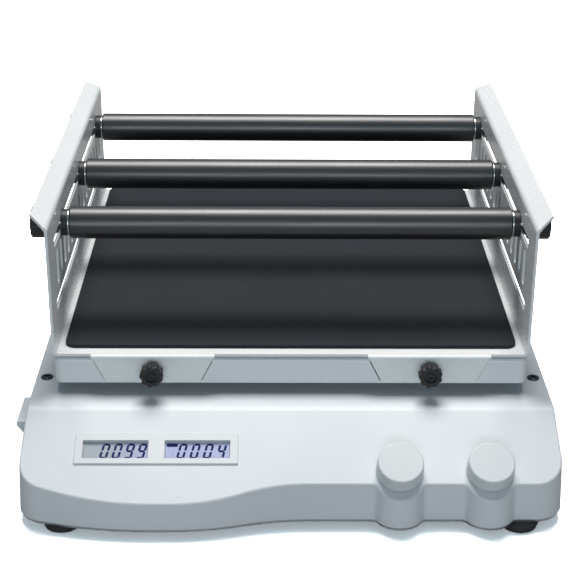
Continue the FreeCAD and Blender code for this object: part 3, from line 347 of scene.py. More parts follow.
def solder_mask():
    material, tree, shader = start_material("solder_mask", mask_green, 0.35)
    tracks = noise_on(tree, track_width, 0.0, (1, 0.2, 1))
    edge = add_node(tree, "ShaderNodeMath", {1: 0.5}, {0: (tracks, 0)}, operation="GREATER_THAN")
    tone = add_node(tree, "ShaderNodeMix", {mix_first: linear(mask_green), mix_second: linear(track_green)},
                    {0: (edge, 0)}, data_type="RGBA")
    tree.links.new(tone.outputs[mix_result], shader.inputs["Base Color"])
    return material


motor_enamel = black_enamel()
board_green = solder_mask()
print("enamel and board:", motor_enamel.name, board_green.name)

# %% [markdown]
# The display is liquid crystal glass behind a clear pane. Unlit, the glass is grey-green; where
# the backlight reaches it, lavender, drawn into the base colour as painted light, so the colour
# follows X across the two windows. The same colour glows faintly, as painted light that lifts the
# glass against the shade of its recess. The pane is nearly all see-through, so its opacity is low
# and only its gloss shows. The segments are a navy ink with little gloss, as they lie behind the
# pane, and the marks on the panel a matt white ink. The clear electrodes in the glass shade it by
# a hair, in a grain of 0.7 mm.

# %% Glass, pane and ink
left_window_middle = -119.25 * MM
crystal_width = 43.2 * MM
crystal_left = left_window_middle - crystal_width / 2
painted_backlight_from = crystal_left + 1.4 * crystal_width
electrode_width = 0.7 * MM
pane_wave_width = 12 * MM
ink_grain_width = 0.4 * MM


def crystal_glass():
    material, tree, shader = start_material("liquid_crystal_glass", "BFC7E2", 0.3)
    place = add_node(tree, "ShaderNodeTexCoord")
    axes = add_node(tree, "ShaderNodeSeparateXYZ", links={0: (place, "Object")})
    # Painted backlight: the share of lavender grows from the glass's left edge.
    painted_backlight = add_node(tree, "ShaderNodeMapRange", {"From Min": crystal_left, "From Max": painted_backlight_from},
                    {"Value": (axes, "X")}, interpolation_type="SMOOTHSTEP")
    tone = add_node(tree, "ShaderNodeMix", {mix_first: linear("B0BAC0"), mix_second: linear("B9C2EA")},
                    {0: (painted_backlight, 0)}, data_type="RGBA")
    electrodes = noise_on(tree, electrode_width, 0.0, (1, 0.3, 0.3))
    faint = add_node(tree, "ShaderNodeMapRange", {"From Min": noise_low, "From Max": noise_high,
                                                  "To Min": 0.9, "To Max": 1.0},
                     {"Value": (electrodes, 0)})
    shaded = add_node(tree, "ShaderNodeMix", {0: 1.0},
                      {mix_first: (tone, mix_result), mix_second: (faint, 0)},
                      data_type="RGBA", blend_type="MULTIPLY")
    tree.links.new(shaded.outputs[mix_result], shader.inputs["Base Color"])
    # The colour also glows faintly: painted light against the shade of the recess.
    tree.links.new(shaded.outputs[mix_result], shader.inputs["Emission Color"])
    shader.inputs["Emission Strength"].default_value = 0.08
    return material


def clear_acrylic():
    material, tree, shader = start_material("clear_acrylic", "30353C", 0.08)
    shader.inputs["Alpha"].default_value = 0.06
    gloss_by(tree, shader, noise_on(tree, pane_wave_width), 0.05, 0.14)
    return material


def printing_ink(name, colour, second):
    material, tree, shader = start_material(name, colour, 0.75)
    shader.inputs["Specular IOR Level"].default_value = 0.2
    colour_by(tree, shader, noise_on(tree, ink_grain_width, 1.0), colour, second)
    return material


crystal = crystal_glass()
pane_acrylic = clear_acrylic()
segment_ink = printing_ink("liquid_crystal_segment", "1A2263", "222B72")
white_ink = printing_ink("screen_ink_white", "EFF2F4", "E9EDF0")
print("backlit from x =", round(painted_backlight_from / MM, 1), "mm")

# %% [markdown]
# Each node of the frame names the slot of its finish in the record. Giving every slot its new
# material dresses all sixty nodes in one loop, the hidden ones as well as the seen ones.

# %% Finishes on the frame's own nodes
finishes = {
    "housing_plastic": housing_abs, "zinc_steel": zinc_steel, "rubber_black": foot_rubber,
    "screw_steel": screw_steel, "black_plastic": nylon_black, "bezel_plastic": bezel_abs,
    "window_clear": pane_acrylic, "lcd_glass": crystal,
    "circuit_board": board_green, "knob_plastic": knob_abs, "switch_plastic": switch_black,
    "ground_steel": ground_steel, "cast_aluminium": cut_aluminium, "painted_tray": tray_coat,
    "painted_carrier": carrier_coat, "mat_rubber": mat_rubber, "sleeve_rubber": sleeve_rubber,
    "belt_rubber": belt_rubber, "motor_black": motor_enamel, "power_case": case_aluminium,
}

for part in frame["record"]["subparts"]:
    node = frame["nodes"][part["node"]]
    node.material_slots[0].material = finishes[part["material_slot"]]

# %% [markdown]
# New pieces are modelled as by hand: a primitive is added, shaped in edit mode and finished with
# modifiers. Code has no mouse, so a helper selects vertices, edges or faces by their place or
# direction. An operator acts on all that is selected, so the selection is cleared first.

# %% Selecting by place and direction
def clear_selection():
    if bpy.context.object and bpy.context.object.mode != "OBJECT":
        bpy.ops.object.mode_set(mode="OBJECT")
    bpy.ops.object.select_all(action="DESELECT")


def pick(piece, kind, wanted):
    """Selects the vertices, edges or faces for which wanted(middle, direction) is true."""
    bpy.ops.object.mode_set(mode="EDIT")
    bpy.ops.mesh.select_mode(type=kind)
    bpy.ops.mesh.select_all(action="DESELECT")
    bpy.ops.object.mode_set(mode="OBJECT")
    mesh = piece.data
    if kind == "VERT":
        for vertex in mesh.vertices:
            vertex.select = wanted(vertex.co, vertex.normal)
    elif kind == "EDGE":
        for edge in mesh.edges:
            start, end = (mesh.vertices[i].co for i in edge.vertices)
            edge.select = wanted((start + end) / 2, (end - start).normalized())
    else:
        for face in mesh.polygons:
            face.select = wanted(face.center, face.normal)
    bpy.ops.object.mode_set(mode="EDIT")


def close_piece(piece, smooth_angle=35):
    """Turns all normals outwards and shades the round parts smooth."""
    bpy.ops.object.mode_set(mode="EDIT")
    bpy.ops.mesh.select_all(action="SELECT")
    bpy.ops.mesh.normals_make_consistent(inside=False)
    bpy.ops.object.mode_set(mode="OBJECT")
    bpy.ops.object.shade_smooth_by_angle(angle=math.radians(smooth_angle))


def moved(piece, height):
    """Moves the whole mesh along Z."""
    bpy.ops.object.mode_set(mode="EDIT")
    bpy.ops.mesh.select_all(action="SELECT")
    bpy.ops.transform.translate(value=(0, 0, height))
    bpy.ops.object.mode_set(mode="OBJECT")


print("objects selected after loading the frame:", len(bpy.context.selected_objects))

# %% [markdown]
# Most small pieces here are turned or rectangular. A turned piece could be a spun outline, but a
# disc extruded and resized step by step needs no merging at the axis and gives clean rings. A
# rectangular one starts as a cube brought to its size, and a bevel rounds its upright edges or
# cuts them to points. Both are made about the origin along Z.

# %% Turned and rectangular starts
def turned(name, steps, sides=64):
    """A round piece: a disc extruded and resized step by step; each step is (height, radius)."""
    clear_selection()
    height, radius = steps[0]
    bpy.ops.mesh.primitive_circle_add(vertices=sides, radius=radius, fill_type="NGON",
                                      location=(0, 0, height))
    piece = bpy.context.object
    piece.name = name
    bpy.ops.object.transform_apply(location=True, rotation=True, scale=True)
    bpy.ops.object.mode_set(mode="EDIT")
    bpy.ops.mesh.select_all(action="SELECT")
    for next_height, next_radius in steps[1:]:
        bpy.ops.mesh.extrude_region_move(TRANSFORM_OT_translate={"value": (0, 0, next_height - height)})
        grow = next_radius / radius
        bpy.ops.transform.resize(value=(grow, grow, 1), center_override=(0, 0, next_height))
        height, radius = next_height, next_radius
    close_piece(piece)
    return piece


def block(name, size, middle=(0, 0, 0)):
    """A cube brought to its size and place, left in object mode."""
    clear_selection()
    bpy.ops.mesh.primitive_cube_add(size=1, location=middle)
    piece = bpy.context.object
    piece.name = name
    piece.scale = size
    bpy.ops.object.transform_apply(location=True, rotation=True, scale=True)
    return piece


def bevel_uprights(piece, reach, segments):
    """Bevels the four upright edges of a block."""
    pick(piece, "EDGE", lambda place, way: abs(way.z) > 0.9)
    bpy.ops.mesh.bevel(offset=reach, segments=segments, affect="EDGES")
    close_piece(piece)


print("first shapes: a disc and a cube")

# %% [markdown]
# Recesses are cut by a boolean modifier, which leaves the rest of the piece as it was. What
# repeats is modelled once. Each copy gets its own mesh with its place written into it, so that
# its object stays at the origin, then its finish and the body that it moves with.

# %% Cutting, joining and placing
def run_modifier(piece, kind, **settings):
    """Adds a modifier with its settings and applies it."""
    clear_selection()
    bpy.context.view_layer.objects.active = piece
    piece.select_set(True)
    modifier = piece.modifiers.new(kind.lower(), kind)
    for name, value in settings.items():
        setattr(modifier, name, value)
    bpy.ops.object.modifier_apply(modifier=modifier.name)


def cut_away(piece, tool):
    """Takes the tool's shape out of the piece and throws the tool away."""
    run_modifier(piece, "BOOLEAN", operation="DIFFERENCE", object=tool, solver="EXACT")
    bpy.data.objects.remove(tool)


def joined(name, pieces):
    """One object from several."""
    clear_selection()
    for piece in pieces:
        piece.select_set(True)
    bpy.context.view_layer.objects.active = pieces[0]
    bpy.ops.object.join()
    pieces[0].name = name
    return pieces[0]


def placed_copy(model, name, place, finish, body):
    """A copy with its own mesh, its place written into the mesh, dressed and fixed to its body."""
    copy = model.copy()
    copy.data = model.data.copy()
    copy.name = name
    copy.data.transform(place)
    bpy.context.scene.collection.objects.link(copy)
    copy.data.materials.clear()
    copy.data.materials.append(finish)
    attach(copy, body)
    return copy


def middle_of(node):
    low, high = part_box(node)
    return (low + high) / 2


print("middle of the tray:", [round(v, 3) for v in middle_of("platform_tray")])

# %% [markdown]
# A hand grip of black nylon has round flutes for the fingers. A circle with eight points to each
# lobe is drawn in at every eighth point, a little less beside it, and that outline is extruded.
# A bevel on both rims gives the thin line of light that shows where the edge is.

# %% Fluted grip
flute_depth = 1.1 * MM
lobe_points = 8


def fluted_grip(name, radius, length, lobes, rim):
    clear_selection()
    count = lobe_points * lobes
    bpy.ops.mesh.primitive_circle_add(vertices=count, radius=radius, fill_type="NGON")
    grip = bpy.context.object
    grip.name = name
    step = 2 * math.pi / count
    for offset, share in ((0, 1.0), (1, 0.8), (2, 0.35)):
        near = (offset, lobe_points - offset)
        pick(grip, "VERT",
             lambda place, _: round(math.atan2(place.y, place.x) / step) % lobe_points in near)
        drawn_in = 1 - share * flute_depth / radius
        bpy.ops.transform.resize(value=(drawn_in, drawn_in, 1), center_override=(0, 0, 0))
    bpy.ops.mesh.select_all(action="SELECT")
    bpy.ops.mesh.extrude_region_move(TRANSFORM_OT_translate={"value": (0, 0, length)})
    pick(grip, "EDGE", lambda place, way: abs(way.z) < 0.01)
    bpy.ops.mesh.bevel(offset=rim, segments=3, affect="EDGES")
    close_piece(grip, 50)
    return grip


print("flutes:", round(flute_depth / MM, 1), "mm deep")

# %% [markdown]
# The two thumbscrews hold the carrier to the tray. Each is a moulded head on a neck, with a round
# recess in its face where the end of the moulded-in insert shows, and a steel shank behind. The
# recess is cut with a boolean, since the face's outline is lobed and an inset would be lobed too.

# %% Thumbscrew shapes
thumb_radius = 8.2 * MM
thumb_length = 8 * MM
thumb_neck = 5.4 * MM
recess_depth = 1.2 * MM
recess_floor = thumb_length - recess_depth

head = fluted_grip("thumb_head", thumb_radius, thumb_length, lobes=9, rim=0.7 * MM)
cut_away(head, turned("thumb_recess", [(recess_floor, 4.2 * MM), (thumb_length + MM, 4.5 * MM)]))
close_piece(head, 40)
moved(head, thumb_neck)
neck = turned("thumb_neck", [(0, 4.6 * MM), (0.5 * MM, 5 * MM), (thumb_neck + 0.5 * MM, 5 * MM)])
thumb_model = joined("thumb_model", [head, neck])

insert_base = thumb_neck + recess_floor
insert_model = turned("insert_model", [
    (insert_base - 0.3 * MM, 2.9 * MM), (insert_base + 0.35 * MM, 2.9 * MM),
    (insert_base + 0.6 * MM, 2.6 * MM), (insert_base + 0.6 * MM, 1.4 * MM),
    (insert_base - 0.2 * MM, 1.3 * MM)], 32)
shank_model = turned("shank_model", [(-12 * MM, 2 * MM), (-11.5 * MM, 2.5 * MM), (0.5 * MM, 2.5 * MM)], 32)
print("thumbscrew:", round(2 * thumb_radius / MM, 1), "mm across,", len(thumb_model.data.polygons), "faces")

# %% [markdown]
# Each model is copied to both screws: the grip and the insert in black nylon, the shank in zinc
# plate. The models point up, so they are turned to face forward. The grip takes the place of the
# frame's plain screw, and the others ride on the same body, so all of them turn together.

# %% Thumbscrews in place
for side in ("left", "right"):
    node = side + "_thumbscrew"
    low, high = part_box(node)
    neck_start = low.y + thumb_neck + thumb_length
    seat = Matrix.Translation((middle_of(node).x, neck_start, middle_of(node).z))
    place = seat @ Matrix.Rotation(math.radians(90), 4, "X")
    body = side + "_clamp_screw"
    grip = placed_copy(thumb_model, side + "_thumb_grip", place, nylon_black, body)
    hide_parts(node)
    placed_copy(insert_model, side + "_thumb_insert", place, nylon_black, body)
    placed_copy(shank_model, side + "_thumb_shank", place, screw_steel, body)
for model in (thumb_model, insert_model, shank_model):
    bpy.data.objects.remove(model)
print("thumbscrews: 2")

# %% [markdown]
# A thin black strip stands behind each tab of the carrier, a millimetre proud of its edges. It is
# painted shade: it gives the dark hairline that shade would give along the tab's slanted edges. It
# is a flat block whose upper vertices are drawn apart, as the tab is wider at the top.

# %% Painted shade strips behind the tabs
shadow_strip_thickness = 0.2 * MM
shadow_strip_gap = 0.05 * MM
shadow_strip_show = 1.1 * MM
tab_top_width = 86 * MM
tab_bottom_width = 66 * MM
tab_height = 20 * MM
tray_low, tray_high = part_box("platform_tray")
tab_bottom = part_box("slotted_carrier")[0].z
shadow_strip_top = tray_high.z - 2.8 * MM
shadow_strip_front = tray_low.y - shadow_strip_gap - shadow_strip_thickness / 2
shadow_strip_height = shadow_strip_top - tab_bottom
shadow_strip_top_width = tab_bottom_width + (tab_top_width - tab_bottom_width) * shadow_strip_height / tab_height

# The dark strip behind each tab is painted shade along the tab's edges.
shadow_strip_model = block("shadow_strip_model", (tab_bottom_width + 2 * shadow_strip_show, shadow_strip_thickness, shadow_strip_height))
pick(shadow_strip_model, "VERT", lambda place, _: place.z > 0)
spread = (shadow_strip_top_width + 2 * shadow_strip_show) / (tab_bottom_width + 2 * shadow_strip_show)
bpy.ops.transform.resize(value=(spread, 1, 1), center_override=(0, 0, 0))
pick(shadow_strip_model, "EDGE", lambda place, way: abs(way.y) > 0.9)
bpy.ops.mesh.bevel(offset=0.3 * MM, segments=2, affect="EDGES")
close_piece(shadow_strip_model)
for side in ("left", "right"):
    middle_x = middle_of(side + "_thumbscrew").x
    seat = Matrix.Translation((middle_x, shadow_strip_front, (tab_bottom + shadow_strip_top) / 2))
    placed_copy(shadow_strip_model, side + "_tab_shadow_strip", seat, nylon_black, "platform")
bpy.data.objects.remove(shadow_strip_model)
print("films: 2, height", round(shadow_strip_height / MM, 1), "mm")

# %% [markdown]
# Each bar is clamped by a grip at either end, outside the carrier's wall. All six are one shape,
# so it is modelled once: a fluted grip, a hub that bears on the wall and a shallow dish in the
# outer face, where the mould's core pin stood.

# %% End grips of the bars
grip_low, grip_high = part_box("front_right_knob")
grip_radius = (grip_high.z - grip_low.z) / 2
hub_length = 2.7 * MM
grip_length = grip_high.x - grip_low.x - hub_length
dish_depth = 0.8 * MM

end_grip = fluted_grip("end_grip", grip_radius, grip_length, lobes=10, rim=1.3 * MM)
dish = turned("dish", [(grip_length - dish_depth, 5.6 * MM), (grip_length + MM, 6.6 * MM)])
cut_away(end_grip, dish)
close_piece(end_grip, 40)
moved(end_grip, hub_length)
hub = turned("hub", [(0, 7.6 * MM), (0.4 * MM, 8 * MM), (hub_length + 0.5 * MM, 8 * MM)])
end_model = joined("end_model", [end_grip, hub])

for bar in ("front", "middle", "rear"):
    for side, sign in (("left", -1), ("right", 1)):
        node = bar + "_" + side + "_knob"
        low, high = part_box(node)
        inner = high.x if sign < 0 else low.x
        seat = Matrix.Translation((inner, middle_of(node).y, middle_of(node).z))
        place = seat @ Matrix.Rotation(sign * math.radians(90), 4, "Y")
        grip = placed_copy(end_model, bar + "_" + side + "_grip_head", place, nylon_black,
                           bar + "_" + side + "_grip")
        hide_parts(node)
bpy.data.objects.remove(end_model)
print("end grips: 6, radius", round(grip_radius / MM, 1), "mm")

# %% [markdown]
# A bright turned washer shows between each black collar and its rubber sleeve, and catches the
# lamp as a thin ring. The bar's core fills its hole, so a short turned disc with a bevelled rim
# is enough, copied to both ends of the three bars.

# %% Bright washers at the sleeve ends
washer_width = 1.3 * MM
washer_radius = 10 * MM
washer_rim = 0.3 * MM
face_radius = washer_radius - 0.4 * MM
washer_model = turned("washer_model", [
    (0, face_radius), (washer_rim, washer_radius),
    (washer_width - washer_rim, washer_radius), (washer_width, face_radius)])
for bar in ("front", "middle", "rear"):
    low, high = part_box(bar + "_bar_sleeve")
    axis = (low + high) / 2
    for side, sign, end in (("left", -1, low.x), ("right", 1, high.x)):
        seat = Matrix.Translation((end + sign * 0.1 * MM, axis.y, axis.z))
        place = seat @ Matrix.Rotation(sign * math.radians(90), 4, "Y")
        placed_copy(washer_model, bar + "_" + side + "_washer", place, ground_steel, bar + "_bar")
bpy.data.objects.remove(washer_model)
print("washers: 6")

# %% [markdown]
# Four black plugs close the screw holes in the deck. Each is a low disc with a soft rim and a
# six-sided recess for a key. The disc is built step by step from a circle, and a six-sided
# prism is cut out of it.

# %% Deck plugs
plug_low, plug_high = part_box("deck_plugs")
plug_height = 1.0 * MM
plug_radius = 4.4 * MM
plug_stem = 2.6 * MM
key_radius = 2.3 * MM
key_floor = 0.35 * MM
plug_model = turned("plug_model", [
    (-5 * MM, plug_stem), (0, plug_stem), (0, plug_radius - 0.2 * MM), (0.2 * MM, plug_radius),
    (0.6 * MM, plug_radius), (0.9 * MM, 4.1 * MM), (plug_height, 3.6 * MM)], 48)
cut_away(plug_model, turned("key_recess", [(key_floor, key_radius), (2 * MM, key_radius)], 6))
close_piece(plug_model)


def corners_of(low, high, reach):
    """The four places that lie the given reach inside a box."""
    return [(x, y) for x in (low.x + reach, high.x - reach) for y in (low.y + reach, high.y - reach)]


plug_corners = corners_of(plug_low, plug_high, plug_radius)
for count, (x, y) in enumerate(plug_corners, 1):
    seat = Matrix.Translation((x, y, plug_high.z - plug_height))
    plug = placed_copy(plug_model, "deck_plug_" + str(count), seat, switch_black, "base")
    if count == 1:
        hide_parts("deck_plugs")
bpy.data.objects.remove(plug_model)
print("deck plugs:", len(plug_corners))

# %% [markdown]
# The feet are moulded rubber, wider at the top, with two grip rings round the side and a recess
# for the screw in the sole. The whole outline, rings, sole and recess, is one run of extrusions.

# %% Feet
foot_low, foot_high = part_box("rubber_feet")
foot_height = foot_high.z - foot_low.z
foot_radius = 13.5 * MM
screw_recess = 2.7 * MM
foot_model = turned("foot_model", [
    (foot_height, 13.2 * MM), (foot_height - 0.3 * MM, foot_radius),
    (3.9 * MM, 13.2 * MM), (3.7 * MM, 12.8 * MM), (3.3 * MM, 12.8 * MM), (3.1 * MM, 13 * MM),
    (2.3 * MM, 12.8 * MM), (2.1 * MM, 12.4 * MM), (1.7 * MM, 12.4 * MM), (1.5 * MM, 12.6 * MM),
    (0.5 * MM, 12.2 * MM), (0.1 * MM, 11.6 * MM), (0, 11 * MM), (0, 5.6 * MM),
    (screw_recess, 5.4 * MM)])

# The steps add up with a rounding error, which must not put the sole under the floor.
for point in foot_model.data.vertices:
    point.co.z = max(point.co.z, 0)

foot_corners = corners_of(foot_low, foot_high, foot_radius)
for count, (x, y) in enumerate(foot_corners, 1):
    foot = placed_copy(foot_model, "foot_" + str(count), Matrix.Translation((x, y, 0)), foot_rubber, "base")
    if count == 1:
        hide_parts("rubber_feet")
bpy.data.objects.remove(foot_model)
print("feet:", len(foot_corners), "height", round(foot_height / MM, 1), "mm")

# %% [markdown]
# The front panel slopes down by 29.5 degrees from the edge of the deck. What lies on it is easier
# to place in the panel's own directions: across, up the slope, and off the surface. A function
# turns such a place into a matrix for the whole machine.

# %% Places on the sloped panel
panel_angle = math.radians(29.5)
panel_start = Vector((0, -143 * MM, 65 * MM))


def on_panel(x, up, height):
    """A place on the panel: x across, up the slope from the deck's edge, height above it."""
    slope = Matrix.Rotation(panel_angle, 4, "X")
    return Matrix.Translation(panel_start) @ slope @ Matrix.Translation((x, up, height))


print("panel normal:", [round(v, 3) for v in on_panel(0, 0, 0).to_3x3() @ Vector((0, 0, 1))])

# %% [markdown]
# The display shows two rows of seven-segment digits on the sloped glass. A text object would need
# a font, and no plain font is cut into segments. So one segment is a thin bar whose four upright
# edges are bevelled into points, in a short and a long form, copied to each segment that is lit.
# The digits lean by 13 degrees, as on most liquid crystal glass.

# %% One segment
digit_width = 5.6 * MM
digit_height = 11.9 * MM
stroke = 1.6 * MM
segment_thickness = 0.12 * MM
lean = math.radians(13)


def bar_of(length):
    """A segment of one length with pointed ends."""
    bar = block("bar", (length, stroke, segment_thickness))
    bevel_uprights(bar, stroke * 0.48, 1)
    return bar


flat_bar = bar_of(digit_width - 0.9 * stroke)
tall_bar = bar_of(digit_height / 2 - 0.7 * stroke)
print("segments in mm:", [round(bar.dimensions.x / MM, 1) for bar in (flat_bar, tall_bar)])

# %% [markdown]
# Each segment has its usual letter, a to g, with its place from the middle of the digit. A digit
# is the string of its lit letters. All the segments of a row become one piece, and a rounded flag
# at the left of the second row shows that the timer is in use.

# %% Rows of digits
glass_height = -1.29 * MM
window_up = -35.0 * MM
side_x = (digit_width - stroke) / 2
top_y = (digit_height - stroke) / 2
segment_places = {
    "a": (0, top_y, False), "g": (0, 0, False), "d": (0, -top_y, False),
    "b": (side_x, top_y / 2, True), "c": (side_x, -top_y / 2, True),
    "f": (-side_x, top_y / 2, True), "e": (-side_x, -top_y / 2, True),
}
lit_segments = {"0": "abcdef", "4": "bcfg", "9": "abcdfg"}


def row_of_digits(name, text_shown, start, pitch):
    bars = []
    for count, digit in enumerate(text_shown):
        middle = start + digit_width / 2 + top_y * math.tan(lean) + count * pitch
        for letter in lit_segments[digit]:
            x, y, upright = segment_places[letter]
            spot = on_panel(middle + x + y * math.tan(lean), window_up + y, glass_height)
            if upright:
                spot = spot @ Matrix.Rotation(math.pi / 2 - lean, 4, "Z")
            bars.append(placed_copy(tall_bar if upright else flat_bar, letter, spot, segment_ink, "base"))
    return joined(name, bars)


row_of_digits("speed_digits", "0099", start=-130.4 * MM, pitch=8.3 * MM)
row_of_digits("time_digits", "0004", start=-78.2 * MM, pitch=8.9 * MM)
flag_length = 7.4 * MM
flag_width = 2.6 * MM
flag_corner = 0.3 * MM
flag = block("flag", (flag_length, flag_width, segment_thickness))
bevel_uprights(flag, flag_corner, 2)
placed_copy(flag, "time_flag", on_panel(-81 * MM, -30.3 * MM, glass_height), segment_ink, "base")
for model in (flat_bar, tall_bar, flag):
    bpy.data.objects.remove(model)
print("lit segments:", sum(len(lit_segments[digit]) for digit in "00990004"))

# %% [markdown]
# Above each control knob a short white mark is screen-printed on the panel. It could be painted
# in the panel's material, but as a thin bar with rounded ends it stays sharp at any size. It
# stands off the plastic by a few hundredths of a millimetre.

# %% Printed marks
mark_length = 4.6 * MM
mark_width = 1.1 * MM
mark_thickness = 0.06 * MM
mark_corner = 0.5 * MM
mark_up = -20.5 * MM
mark_height = 0.02 * MM
mark_model = block("mark_model", (mark_length, mark_width, mark_thickness))
bevel_uprights(mark_model, mark_corner, 4)
for name in ("speed", "timer"):
    x = middle_of(name + "_knob").x
    placed_copy(mark_model, name + "_mark", on_panel(x, mark_up, mark_height), white_ink, "base")
bpy.data.objects.remove(mark_model)
print("printed marks: 2")

# %% [markdown]
# The mains inlet at the rear is a moulded insert: a flange with rounded corners over a deep
# shell, with the socket sunk through both. Each part is a block whose upright edges are bevelled
# round, the flange's front rim gets a fine bevel, and a boolean cuts the socket out of each.

# %% Shell of the mains inlet
inlet_low, inlet_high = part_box("power_inlet")
inlet_middle = (inlet_low + inlet_high) / 2
flange_thickness = 2.2 * MM
flange_width = inlet_high.x - inlet_low.x
flange_height = inlet_high.z - inlet_low.z
shell_width = 28 * MM
shell_height = 20 * MM
shell_wall = 1.8 * MM
shell_depth = inlet_high.y - inlet_low.y - flange_thickness
socket_depth = 16 * MM
overlap = 0.1 * MM


def rounded_block(name, width, height, depth, front, radius):
    """A block with its front face at the given height and rounded upright edges."""
    piece = block(name, (width, height, depth), (0, 0, front - depth / 2))
    bevel_uprights(piece, radius, 5)
    return piece


def socket_tool():
    width = shell_width - 2 * shell_wall
    height = shell_height - 2 * shell_wall
    return rounded_block("socket_tool", width, height, socket_depth, flange_thickness + overlap, 3.8 * MM)


flange = rounded_block("flange", flange_width, flange_height, flange_thickness, flange_thickness, 3.5 * MM)
pick(flange, "EDGE", lambda place, way: abs(way.z) < 0.01 and place.z > flange_thickness - 0.01 * MM)
bpy.ops.mesh.bevel(offset=0.6 * MM, segments=3, affect="EDGES")
close_piece(flange)
cut_away(flange, socket_tool())
shell = rounded_block("shell", shell_width, shell_height, shell_depth, overlap, 2.5 * MM)
cut_away(shell, socket_tool())
inlet_model = joined("inlet_model", [flange, shell])
close_piece(inlet_model)

rear_seat = Matrix.Translation((inlet_middle.x, inlet_high.y - flange_thickness, inlet_middle.z))
half_turn = Matrix.Rotation(math.radians(180), 4, "Z")
to_rear = rear_seat @ half_turn @ Matrix.Rotation(math.radians(90), 4, "X")
inlet = placed_copy(inlet_model, "inlet_shell", to_rear, nylon_black, "base")
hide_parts("power_inlet")
bpy.data.objects.remove(inlet_model)
print("inlet flange:", round(flange_width / MM, 1), "by", round(flange_height / MM, 1), "mm")

# %% [markdown]
# Three flat brass pins stand on the floor of the socket, with bevelled tips that guide the plug.
# Two slotted screws hold the flange. Their heads are low turned discs, and a thin block cuts the
# slot.

# %% Pins and screws of the inlet
pin_width = 4 * MM
pin_thickness = 2 * MM
pin_length = 11 * MM
pin_side = 7 * MM
screw_side = 19.5 * MM
socket_floor = flange_thickness - socket_depth
pin_model = block("pin_model", (pin_width, pin_thickness, pin_length), (0, 0, socket_floor + pin_length / 2))
pick(pin_model, "EDGE", lambda place, way: place.z > socket_floor + pin_length - 0.1 * MM)
bpy.ops.mesh.bevel(offset=0.5 * MM, segments=3, affect="EDGES")
close_piece(pin_model)
screw_model = turned("screw_model", [
    (flange_thickness - 0.4 * MM, 3 * MM), (flange_thickness - 0.1 * MM, 3 * MM),
    (flange_thickness - 0.02 * MM, 2.6 * MM)], 32)
cut_away(screw_model, block("slot_tool", (6 * MM, 0.7 * MM, MM), (0, 0, flange_thickness + 0.2 * MM)))
close_piece(screw_model)

pin_places = [(-pin_side, -1.5 * MM), (0, 2.5 * MM), (pin_side, -1.5 * MM)]
for count, (x, z) in enumerate(pin_places, 1):
    spot = to_rear @ Matrix.Translation((x, z, 0))
    placed_copy(pin_model, "inlet_pin_" + str(count), spot, pin_brass, "base")
for side, sign in (("left", -1), ("right", 1)):
    spot = to_rear @ Matrix.Translation((sign * screw_side, 0, 0))
    placed_copy(screw_model, "inlet_screw_" + side, spot, screw_steel, "base")
for model in (pin_model, screw_model):
    bpy.data.objects.remove(model)
print("inlet pins:", len(pin_places), "each", round(pin_length / MM, 1), "mm long")

# %% [markdown]
# The light is a plain studio. A broad softbox hangs above and a little behind the machine, so
# the tray throws a soft shadow forward on to the deck. A weaker one stands low in front and
# lifts the upright faces to a cool middle grey, with little glint of its own.

# %% Softboxes
def softbox(name, place, target, width, height, watts, tint, glint=1.0):
    data = bpy.data.lights.new(name, "AREA")
    data.color = tint
    data.specular_factor = glint
    data.shape = "RECTANGLE"
    data.size = width
    data.size_y = height
    data.energy = watts
    lamp = bpy.data.objects.new(name, data)
    lamp.location = place
    lamp.rotation_euler = (Vector(target) - Vector(place)).to_track_quat("-Z", "Y").to_euler()
    bpy.context.scene.collection.objects.link(lamp)
    return lamp


lit_place = (0, 0, 0.1)
softbox("softbox_above", (0, 0.45, 2.0), lit_place, width=1.1, height=0.85, watts=44, tint=(1, 0.97, 0.94))
softbox("softbox_front", (0, -2.2, 0.6), lit_place, width=1.4, height=0.6, watts=14, tint=(0.86, 0.95, 1),
        glint=0.15)
print("softboxes:", [lamp.name for lamp in bpy.data.lights])

# %% [markdown]
# The room round the machine is white. If it lit everything at that strength, no shadow would be
# left, so it is told by the kind of ray what to be: plain white straight behind the machine, a
# softer white in reflections, and a faint bluish fill for everything else.

# %% Room
room = bpy.data.worlds.new("white_room")
room.use_nodes = True
bpy.context.scene.world = room
room_tree = room.node_tree
room_tree.nodes.clear()
room_fill = 0.1
room_mirrored = 0.4
fill_tint = (0.66, 0.86, 1, 1)
plain_white = (1, 1, 1, 1)

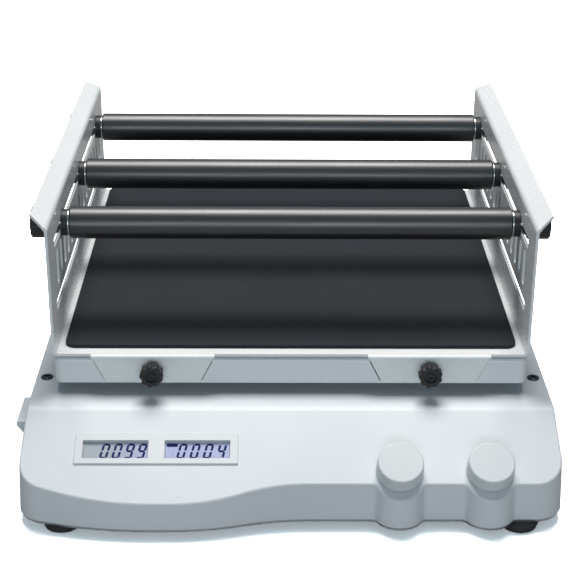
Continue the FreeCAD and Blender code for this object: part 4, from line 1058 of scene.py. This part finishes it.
ray = add_node(room_tree, "ShaderNodeLightPath")
seen_white = add_node(room_tree, "ShaderNodeMath",
                      links={0: (ray, "Is Camera Ray"), 1: (ray, "Is Transmission Ray")},
                      operation="MAXIMUM")
room_glow = add_node(room_tree, "ShaderNodeMapRange", {"To Min": room_fill, "To Max": room_mirrored},
                     {"Value": (ray, "Is Glossy Ray")})
room_level = add_node(room_tree, "ShaderNodeMath", links={0: (seen_white, 0), 1: (room_glow, 0)},
                      operation="MAXIMUM")
room_tint = add_node(room_tree, "ShaderNodeMix", {mix_first: fill_tint, mix_second: plain_white},
                     {0: (seen_white, 0)}, data_type="RGBA")
room_light = add_node(room_tree, "ShaderNodeBackground",
                      links={"Color": (room_tint, mix_result), "Strength": (room_level, 0)})
add_node(room_tree, "ShaderNodeOutputWorld", links={"Surface": (room_light, 0)})
print("room fill", room_fill, "and in reflections", room_mirrored)

# %% [markdown]
# The floor is a plain pale sweep. A photographer over-lights such a sweep so that it melts into
# the white room, and only the soft shadow under the machine stays. Here the floor reflects that
# much more straight at the camera, more also into glossy surfaces, and a plain grey elsewhere.
# It ends where it is still white, so no horizon shows in a low view. Seen from below it is
# clear, so that the underside of the machine can be looked at.

# %% Floor
floor_radius = 1.6
floor_grey = 0.35
floor_over_light = 3.4
floor_mirrored = 0.45


def white_floor():
    material = bpy.data.materials.new("pale_floor")
    material.use_nodes = True
    tree = material.node_tree
    tree.nodes.clear()
    ray = add_node(tree, "ShaderNodeLightPath")
    mirrored = add_node(tree, "ShaderNodeMapRange", {"To Min": floor_grey, "To Max": floor_mirrored},
                        {"Value": (ray, "Is Glossy Ray")})
    seen = add_node(tree, "ShaderNodeMath", {1: floor_over_light}, {0: (ray, "Is Camera Ray")},
                    operation="MULTIPLY")
    level = add_node(tree, "ShaderNodeMath", links={0: (mirrored, 0), 1: (seen, 0)}, operation="MAXIMUM")
    matt = add_node(tree, "ShaderNodeBsdfDiffuse", links={"Color": (level, 0)})
    clear = add_node(tree, "ShaderNodeBsdfTransparent")
    side = add_node(tree, "ShaderNodeNewGeometry")
    one_sided = add_node(tree, "ShaderNodeMixShader",
                         links={0: (side, "Backfacing"), 1: (matt, 0), 2: (clear, 0)})
    add_node(tree, "ShaderNodeOutputMaterial", links={"Surface": (one_sided, 0)})
    return material


clear_selection()
bpy.ops.mesh.primitive_circle_add(vertices=96, radius=floor_radius, fill_type="NGON")
floor = bpy.context.object
floor.name = "floor"
floor.data.materials.append(white_floor())
print("floor:", round(floor.dimensions.x, 2), "m across")

# %% [markdown]
# Last, the view transform is set to Standard, so that a colour shows as it was written.

# %% View transform
bpy.context.scene.view_settings.view_transform = "Standard"
